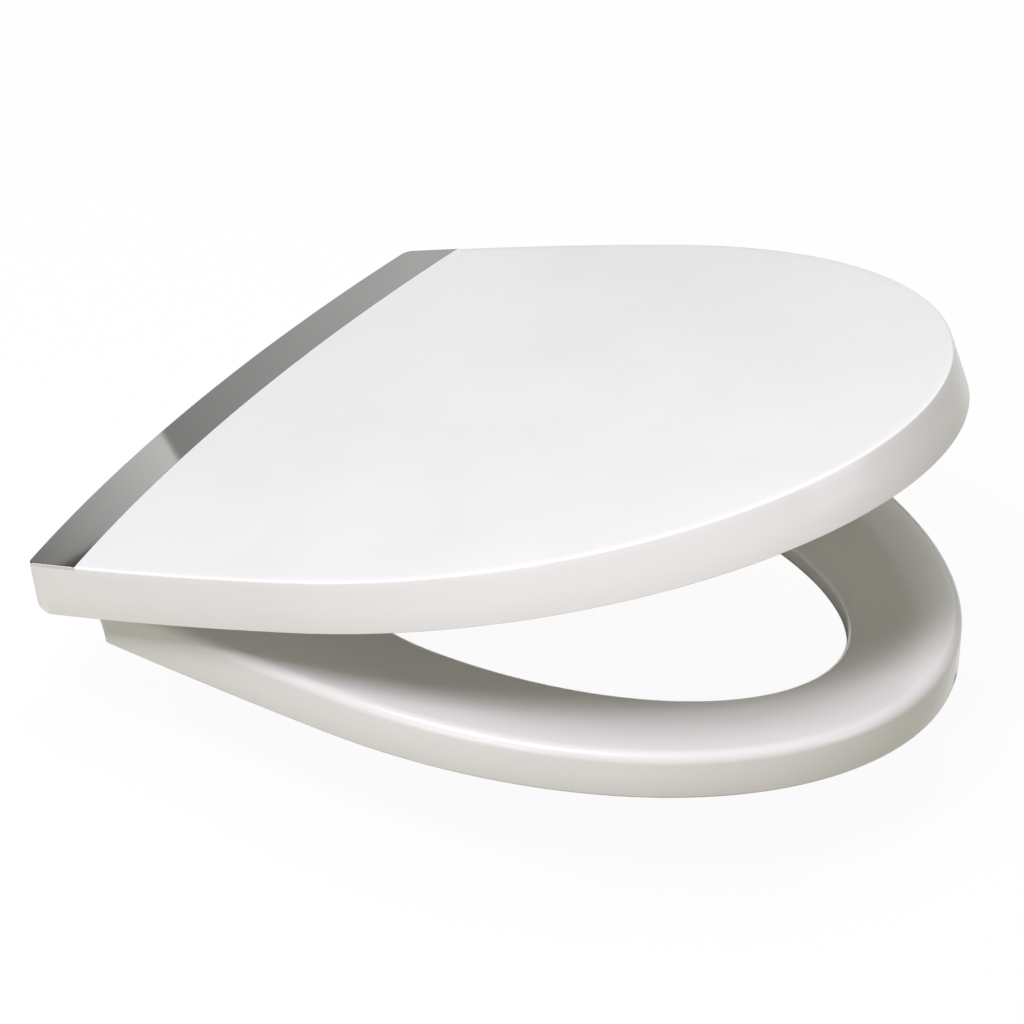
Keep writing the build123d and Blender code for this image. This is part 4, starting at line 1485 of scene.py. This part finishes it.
            wing = plate("wing", view, -self.wing_t / 2, self.wing_t / 2, outwards)
            soften(wing, self.wing_edge, 3)
            add_to(boss, wing)
        smooth(boss, 42.0)
        return boss


@dataclass
class Buffers:
    """Rubber feet under the ring and pads under the lid."""

    hinge: HingeLine
    foot_r: float = 9.0
    foot_high: float = 6.2
    pad_r: float = 6.0
    panel_under: float = 11.0
    pad_low: float = 6.4
    pad_at: Pair = (-105.0, -343.0)

    def foot(self, name: str, at: Pair) -> bpy.types.Object:
        """Models one foot of the ring with a dished sole.

        Args:
            name: the piece's name.
            at: its x and y.

        Returns:
            The foot.
        """
        r, high = self.foot_r, self.foot_high
        profile = [(2.5, 0.5), (5.8, 0.35), (6.4, 0.02), (7.4, 0.0), (8.4, 0.35), (r - 0.1, 1.1), (r, 2.0),
                   (r, high - 1.2), (r - 0.25, high - 0.4), (r - 0.8, high - 0.02), (4.0, high - 0.02),
                   (3.9, high + 4.9)]
        foot = turned(name, profile, at)
        smooth(foot, 40.0)
        return foot

    def lid_pad(self) -> bpy.types.Object:
        """Models the left pad under the lid.

        Returns:
            The pad.
        """
        r, high, low = self.pad_r, self.panel_under, self.pad_low
        profile = [(2.0, low), (r - 1.2, low), (r - 0.4, low + 0.3), (r, low + 1.1), (r, high - 0.8),
                   (r - 0.2, high - 0.02), (2.4, high - 0.02), (2.4, high + 2.9)]
        pad = turned("lid_pad_left", profile, self.pad_at, self.hinge.lid, 40)
        smooth(pad, 40.0)
        return pad


# The studio and the scene.


# Painted reflection for the strip: plain greys of a card that glows only for mirrored rays, from its left
# end:
# a step from light to dark, as beside a window.
STRIP_REFLECTION_TONES = ((0.15, "#606060"), (0.45, "#E6E6E6"), (0.455, "#999999"), (0.85, "#CCCCCC"))
# Painted dark reflection for the dish: dim greys of a card behind the seat that glows only for mirrored rays.
DISH_REFLECTION_TONES = ((0.0, "#4E4E3C"), (1.0, "#5A5A48"))
# Painted shade under the hole, where the bowl would be: a dim card that glows only for mirrored and bounced
# rays keeps the hole's lip and the dish dark.
HOLE_SHADE_TONES = ((0.0, "#36362A"), (1.0, "#3E3E30"))
WHITE = (1.0, 1.0, 1.0, 1.0)


def plainly_seen(tree: bpy.types.NodeTree) -> bpy.types.NodeSocket:
    """Tells the rays that show the background, straight, mirrored or through glass, from those that light.

    Args:
        tree: the node tree of the floor or the room.

    Returns:
        A socket that is one for the rays that show it.
    """
    path = add_node(tree, "ShaderNodeLightPath")
    seen = path.outputs["Is Camera Ray"]
    for ray in ("Is Glossy Ray", "Is Transmission Ray"):
        either = add_node(tree, "ShaderNodeMath", {0: seen, 1: path.outputs[ray]}, operation="MAXIMUM")
        seen = either.outputs[0]
    return seen


@dataclass(frozen=True)
class Card:
    """A studio card that glows only where the seat mirrors it, a painted reflection, and is otherwise clear.

    Place and size are in metres, its back is turned the way that away points, and its tones start at its left
    end. Its glow is a painted reflection; one that shades also glows for bounced rays, painted shade that
    takes the place of the floor's bounced light.
    """

    name: str
    place: Point
    away: Point
    size: Pair
    tones: Stops
    shades: bool = False

    def build(self) -> None:
        """Stands the card in the studio."""
        bpy.ops.object.select_all(action="DESELECT")
        bpy.ops.mesh.primitive_plane_add(size=1.0, location=self.place)
        obj = bpy.context.object
        obj.name = self.name
        away = Vector(self.away).normalized()
        across = away.cross(Vector((0.0, 0.0, 1.0))).normalized()
        if across.length < 0.5:
            across = Vector((1.0, 0.0, 0.0))
        turn = Matrix((across, across.cross(away), -away)).transposed().to_4x4()
        stretch = Matrix.Diagonal((*self.size, 1.0, 1.0))
        obj.matrix_world = Matrix.Translation(Vector(self.place)) @ turn @ stretch
        material, tree = fresh_material(self.name + "_tones")
        spot = add_node(tree, "ShaderNodeTexCoord").outputs["Generated"]
        where = add_node(tree, "ShaderNodeSeparateXYZ", {0: spot})
        tone = add_node(tree, "ShaderNodeValToRGB", {"Fac": where.outputs["X"]}, self.tones)
        path = add_node(tree, "ShaderNodeLightPath")
        glow = add_node(tree, "ShaderNodeEmission", {"Color": tone.outputs["Color"], "Strength": 1.0})
        clear = add_node(tree, "ShaderNodeBsdfTransparent")
        # Painted reflection: the card glows only for mirrored rays; one that shades glows for bounced rays
        # too, as painted shade.
        met = path.outputs["Is Glossy Ray"]
        if self.shades:
            met = add_node(tree, "ShaderNodeMath", {0: met, 1: path.outputs["Is Diffuse Ray"]},
                           operation="MAXIMUM").outputs[0]
        both = add_node(tree, "ShaderNodeMixShader", {0: met, 1: clear.outputs[0], 2: glow.outputs[0]})
        add_node(tree, "ShaderNodeOutputMaterial", {"Surface": both.outputs[0]})
        obj.data.materials.append(material)


@dataclass(frozen=True)
class Lamp:
    """A soft square lamp, with its place and edge in metres and its power in watts."""

    name: str
    place: Point
    edge: float
    watts: float
    tint: str = "#FFFFFF"

    def build(self, aim: Point) -> None:
        """Hangs the lamp.

        Args:
            aim: the point it faces.
        """
        data = bpy.data.lights.new(self.name, "AREA")
        data.size = self.edge
        data.energy = self.watts
        data.color = linear(self.tint)[:3]
        obj = bpy.data.objects.new(self.name, data)
        bpy.context.scene.collection.objects.link(obj)
        obj.location = self.place
        obj.rotation_euler = (Vector(aim) - Vector(self.place)).to_track_quat("-Z", "Y").to_euler()


@dataclass
class Studio:
    """Pale floor, soft lamps and the camera that took the view."""

    floor_z: float = -0.0575
    floor_size: float = 14.0
    floor_white: str = "#F6F6F6"
    shadow_share: float = 0.05
    eye: Point = (-2.45588, -1.57488, 1.96412)
    right: Point = (0.52066, -0.85314, 0.03259)
    up: Point = (0.46496, 0.31537, 0.82726)
    ahead: Point = (0.71604, 0.41557, -0.56088)
    lens: float = 242.55
    bounce: str = "#989C82"
    room: float = 0.19
    room_tint: str = "#FFFFE0"
    gleam: float = 0.9
    # Height above the floor of the dim card under the hole that paints shade on the lip and the dish.
    shade_card_lift: float = 0.0005
    aim: Point = (0.0, -0.2, 0.05)
    lamps: Tuple[Lamp, ...] = (
        Lamp("top_lamp", (0.0, -0.2, 2.6), 1.0, 14.5, "#EAF7FF"),
        Lamp("key_lamp", (-1.4, -0.3, 2.1), 0.6, 37.0, "#FAF5FF"),
        Lamp("key_rear_lamp", (-1.1, 0.3, 2.3), 0.6, 11.0, "#FAF8FF"),
        Lamp("left_lamp", (-2.5, -0.2, 0.5), 1.0, 7.5, "#FFF0FC"),
        Lamp("front_lamp", (0.1, -2.6, 0.7), 1.0, 6.0, "#FFE8F4"),
        Lamp("rear_lamp", (0.9, 2.3, 1.2), 1.2, 13.0),
        Lamp("right_lamp", (2.4, 0.1, 1.3), 1.2, 4.0),
    )

    def cards(self) -> Tuple[Card, ...]:
        """Lists the cards: a painted reflection for the strip, a dim painted reflection behind the dish and
        painted shade under the hole.

        Returns:
            The three cards.
        """
        return (
            # Painted reflection: the strip mirrors this glowing card, which nothing else sees.
            Card("strip_reflection_card", (0.53190, 0.58018, 0.16077), (0.69759, 0.70144, 0.14610), (0.48, 0.06),
                 STRIP_REFLECTION_TONES),
            # Painted dark reflection: the dish mirrors this dim glowing card, which nothing else sees.
            Card("dish_reflection_card", (1.3, 1.3, 0.38), (1.0, 1.0, 0.0), (3.2, 0.9), DISH_REFLECTION_TONES),
            # Painted shade: this dim glowing card under the hole darkens the lip and the dish in mirrored and
            # bounced light.
            Card("hole_shade_card", (0.0, -0.196, self.floor_z + self.shade_card_lift), (0.0, 0.0, -1.0), (0.26, 0.33),
                 HOLE_SHADE_TONES, shades=True),
        )

    def camera(self) -> None:
        """Sets the camera where the photograph was taken."""
        data = bpy.data.cameras.new("camera")
        data.sensor_width = 36.0
        data.sensor_fit = "HORIZONTAL"
        data.lens = self.lens
        data.clip_end = 60.0
        obj = bpy.data.objects.new("camera", data)
        bpy.context.scene.collection.objects.link(obj)
        turn = Matrix((self.right, self.up, tuple(-v for v in self.ahead))).transposed()
        obj.matrix_world = Matrix.Translation(Vector(self.eye)) @ turn.to_4x4()
        bpy.context.scene.camera = obj

    def floor(self) -> None:
        """Lays the floor: white to the eye, with the seat's shadow kept faintly on it."""
        bpy.ops.object.select_all(action="DESELECT")
        bpy.ops.mesh.primitive_plane_add(size=self.floor_size, location=(0.0, 0.0, self.floor_z))
        obj = bpy.context.object
        obj.name = "studio_floor"
        material, tree = fresh_material("studio_floor_pale")
        seen = plainly_seen(tree)
        share = add_node(tree, "ShaderNodeMath", {0: seen, 1: 1.0 - self.shadow_share}, operation="MULTIPLY")
        tone = add_node(tree, "ShaderNodeMix", {0: seen, 6: linear(self.bounce), 7: linear(self.floor_white)},
                        data_type="RGBA")
        matt = add_node(tree, "ShaderNodeBsdfDiffuse", {"Color": tone.outputs[2]})
        white = add_node(tree, "ShaderNodeEmission", {"Color": WHITE, "Strength": 1.0})
        both = add_node(tree, "ShaderNodeMixShader",
                        {0: share.outputs[0], 1: matt.outputs[0], 2: white.outputs[0]})
        face = add_node(tree, "ShaderNodeNewGeometry")
        clear = add_node(tree, "ShaderNodeBsdfTransparent")
        sided = add_node(tree, "ShaderNodeMixShader",
                         {0: face.outputs["Backfacing"], 1: both.outputs[0], 2: clear.outputs[0]})
        add_node(tree, "ShaderNodeOutputMaterial", {"Surface": sided.outputs[0]})
        obj.data.materials.append(material)

    def world(self) -> None:
        """Fills the room with even light, white where it is seen in a reflection."""
        world = bpy.data.worlds.new("studio_room")
        bpy.context.scene.world = world
        world.use_nodes = True
        tree = world.node_tree
        tree.nodes.clear()
        dim = add_node(tree, "ShaderNodeBackground", {"Color": linear(self.room_tint), "Strength": self.room})
        white = add_node(tree, "ShaderNodeBackground", {"Color": WHITE, "Strength": self.gleam})
        both = add_node(tree, "ShaderNodeMixShader",
                        {0: plainly_seen(tree), 1: dim.outputs[0], 2: white.outputs[0]})
        add_node(tree, "ShaderNodeOutputWorld", {"Surface": both.outputs[0]})

    def build(self) -> None:
        """Sets up camera, floor, room, cards and lamps."""
        self.camera()
        self.floor()
        self.world()
        for card in self.cards():
            card.build()
        for lamp in self.lamps:
            lamp.build(self.aim)
        bpy.context.scene.view_settings.view_transform = "Standard"


def dress_carried_over(finishes: FinishSet) -> None:
    """Gives the CAD nodes that keep their own shape, the bushes and the clips, their finish.

    Args:
        finishes: the seat's finishes.
    """
    for name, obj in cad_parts.items():
        finish = finishes.nylon if "bush" in name else finishes.plating if "clip" in name else None
        if finish is not None:
            obj.data.materials.clear()
            obj.data.materials.append(finish)
            log.info("%s: CAD shape kept, new finish", name)


def build_lid(finishes: FinishSet, lid: Lid, strip: HingeStrip) -> None:
    """Builds the lid and its metal strip.

    Args:
        finishes: the seat's finishes.
        lid: the lid.
        strip: its strip.
    """
    cover = lid.build()
    cut_away(cover, strip.cutter())
    cut_away(cover, lid.heel_cutter())
    smooth(cover)
    seat(cover, Body.LID, "white_moulding", finishes.moulding, "lid")
    trim = strip.build()
    smooth(trim)
    seat(trim, Body.LID, "strip_steel", finishes.strip, "hinge_strip")


def build_ring(finishes: FinishSet, ring: SeatRing) -> None:
    """Builds the ring with its hollowed underside.

    Args:
        finishes: the seat's finishes.
        ring: the ring.
    """
    piece = ring.build()
    cut_away(piece, ring.hollow())
    for cutter in ring.slot_cutters():
        cut_away(piece, cutter)
    smooth(piece)
    seat(piece, Body.RING, "white_moulding", finishes.moulding, "seat_ring")


def build_hardware(finishes: FinishSet, hinge: HingeLine, ring: SeatRing) -> None:
    """Builds the hinges, fixings and buffers, each on the left first and then mirrored.

    Args:
        finishes: the seat's finishes.
        hinge: the line that lid and ring turn about.
        ring: the ring, for the places of its feet.
    """
    brackets, fixing, buffers = Brackets(hinge), BowlFixing(), Buffers(hinge)
    pairs = [
        (HingePost(hinge).build(), Body.HINGE, "cast_metal", finishes.casting, "hinge_post"),
        (PivotPin(hinge).build(), Body.HINGE, "steel", finishes.plating, "pivot_pin"),
        (fixing.pad(), Body.HINGE, "grey_rubber", finishes.rubber, "sealing_pad"),
        (fixing.wing_nut(), Body.HINGE, "nylon", finishes.nylon, "wing_nut"),
        (brackets.lid_bracket(), Body.LID, "cast_metal", finishes.casting, "lid_bracket"),
        (brackets.ring_bracket(), Body.RING, "cast_metal", finishes.casting, "ring_bracket"),
        (buffers.lid_pad(), Body.LID, "grey_rubber", finishes.rubber, "lid_buffer"),
        (buffers.foot("foot_front_left", ring.feet[1]), Body.RING, "grey_rubber", finishes.rubber,
         "ring_buffer_front"),
        (buffers.foot("foot_rear_left", ring.feet[3]), Body.RING, "grey_rubber", finishes.rubber,
         "ring_buffer_rear"),
    ]
    for left, body, slot, finish, node in pairs:
        right = mirrored(left, left.name.replace("_left", "_right"))
        for side, piece in ((Side.LEFT, left), (Side.RIGHT, right)):
            seat(piece, body, slot, finish, node + "_" + side.label())
    for piece, name, slot, finish, node in [
        (fixing.bolt(), "bolts_threaded", "steel", finishes.plating, "fixing_bolts"),
        (fixing.clamp(), "clamp_cones", "grey_rubber", finishes.rubber, "clamp_washers"),
        (fixing.washer(), "washers_punched", "steel", finishes.plating, "flat_washers"),
    ]:
        both = joined(name, [piece, mirrored(piece, name)])
        seat(both, Body.HINGE, slot, finish, node)
    lid_screws = brackets.screws("lid_screw_set", brackets.lid_place, brackets.lid_screw_y,
                                 brackets.panel_under - brackets.leaf_t, brackets.lid_screw_len)
    seat(lid_screws, Body.LID, "steel", finishes.plating, "lid_screws")
    ring_screws = brackets.screws("ring_screw_set", brackets.ring_place, brackets.ring_screw_y,
                                  brackets.ring_under, brackets.ring_screw_len)
    seat(ring_screws, Body.RING, "steel", finishes.plating, "ring_screws")


def main() -> None:
    """Builds the seat and its studio, and notes the size of the result."""
    logging.basicConfig(level=logging.INFO, format="%(message)s")
    Studio().build()
    finishes = FinishSet()
    hinge, ring = HingeLine(), SeatRing()
    lid = Lid(hinge)
    build_lid(finishes, lid, HingeStrip(lid))
    build_ring(finishes, ring)
    build_hardware(finishes, hinge, ring)
    dress_carried_over(finishes)


if __name__ == "__main__":
    main()
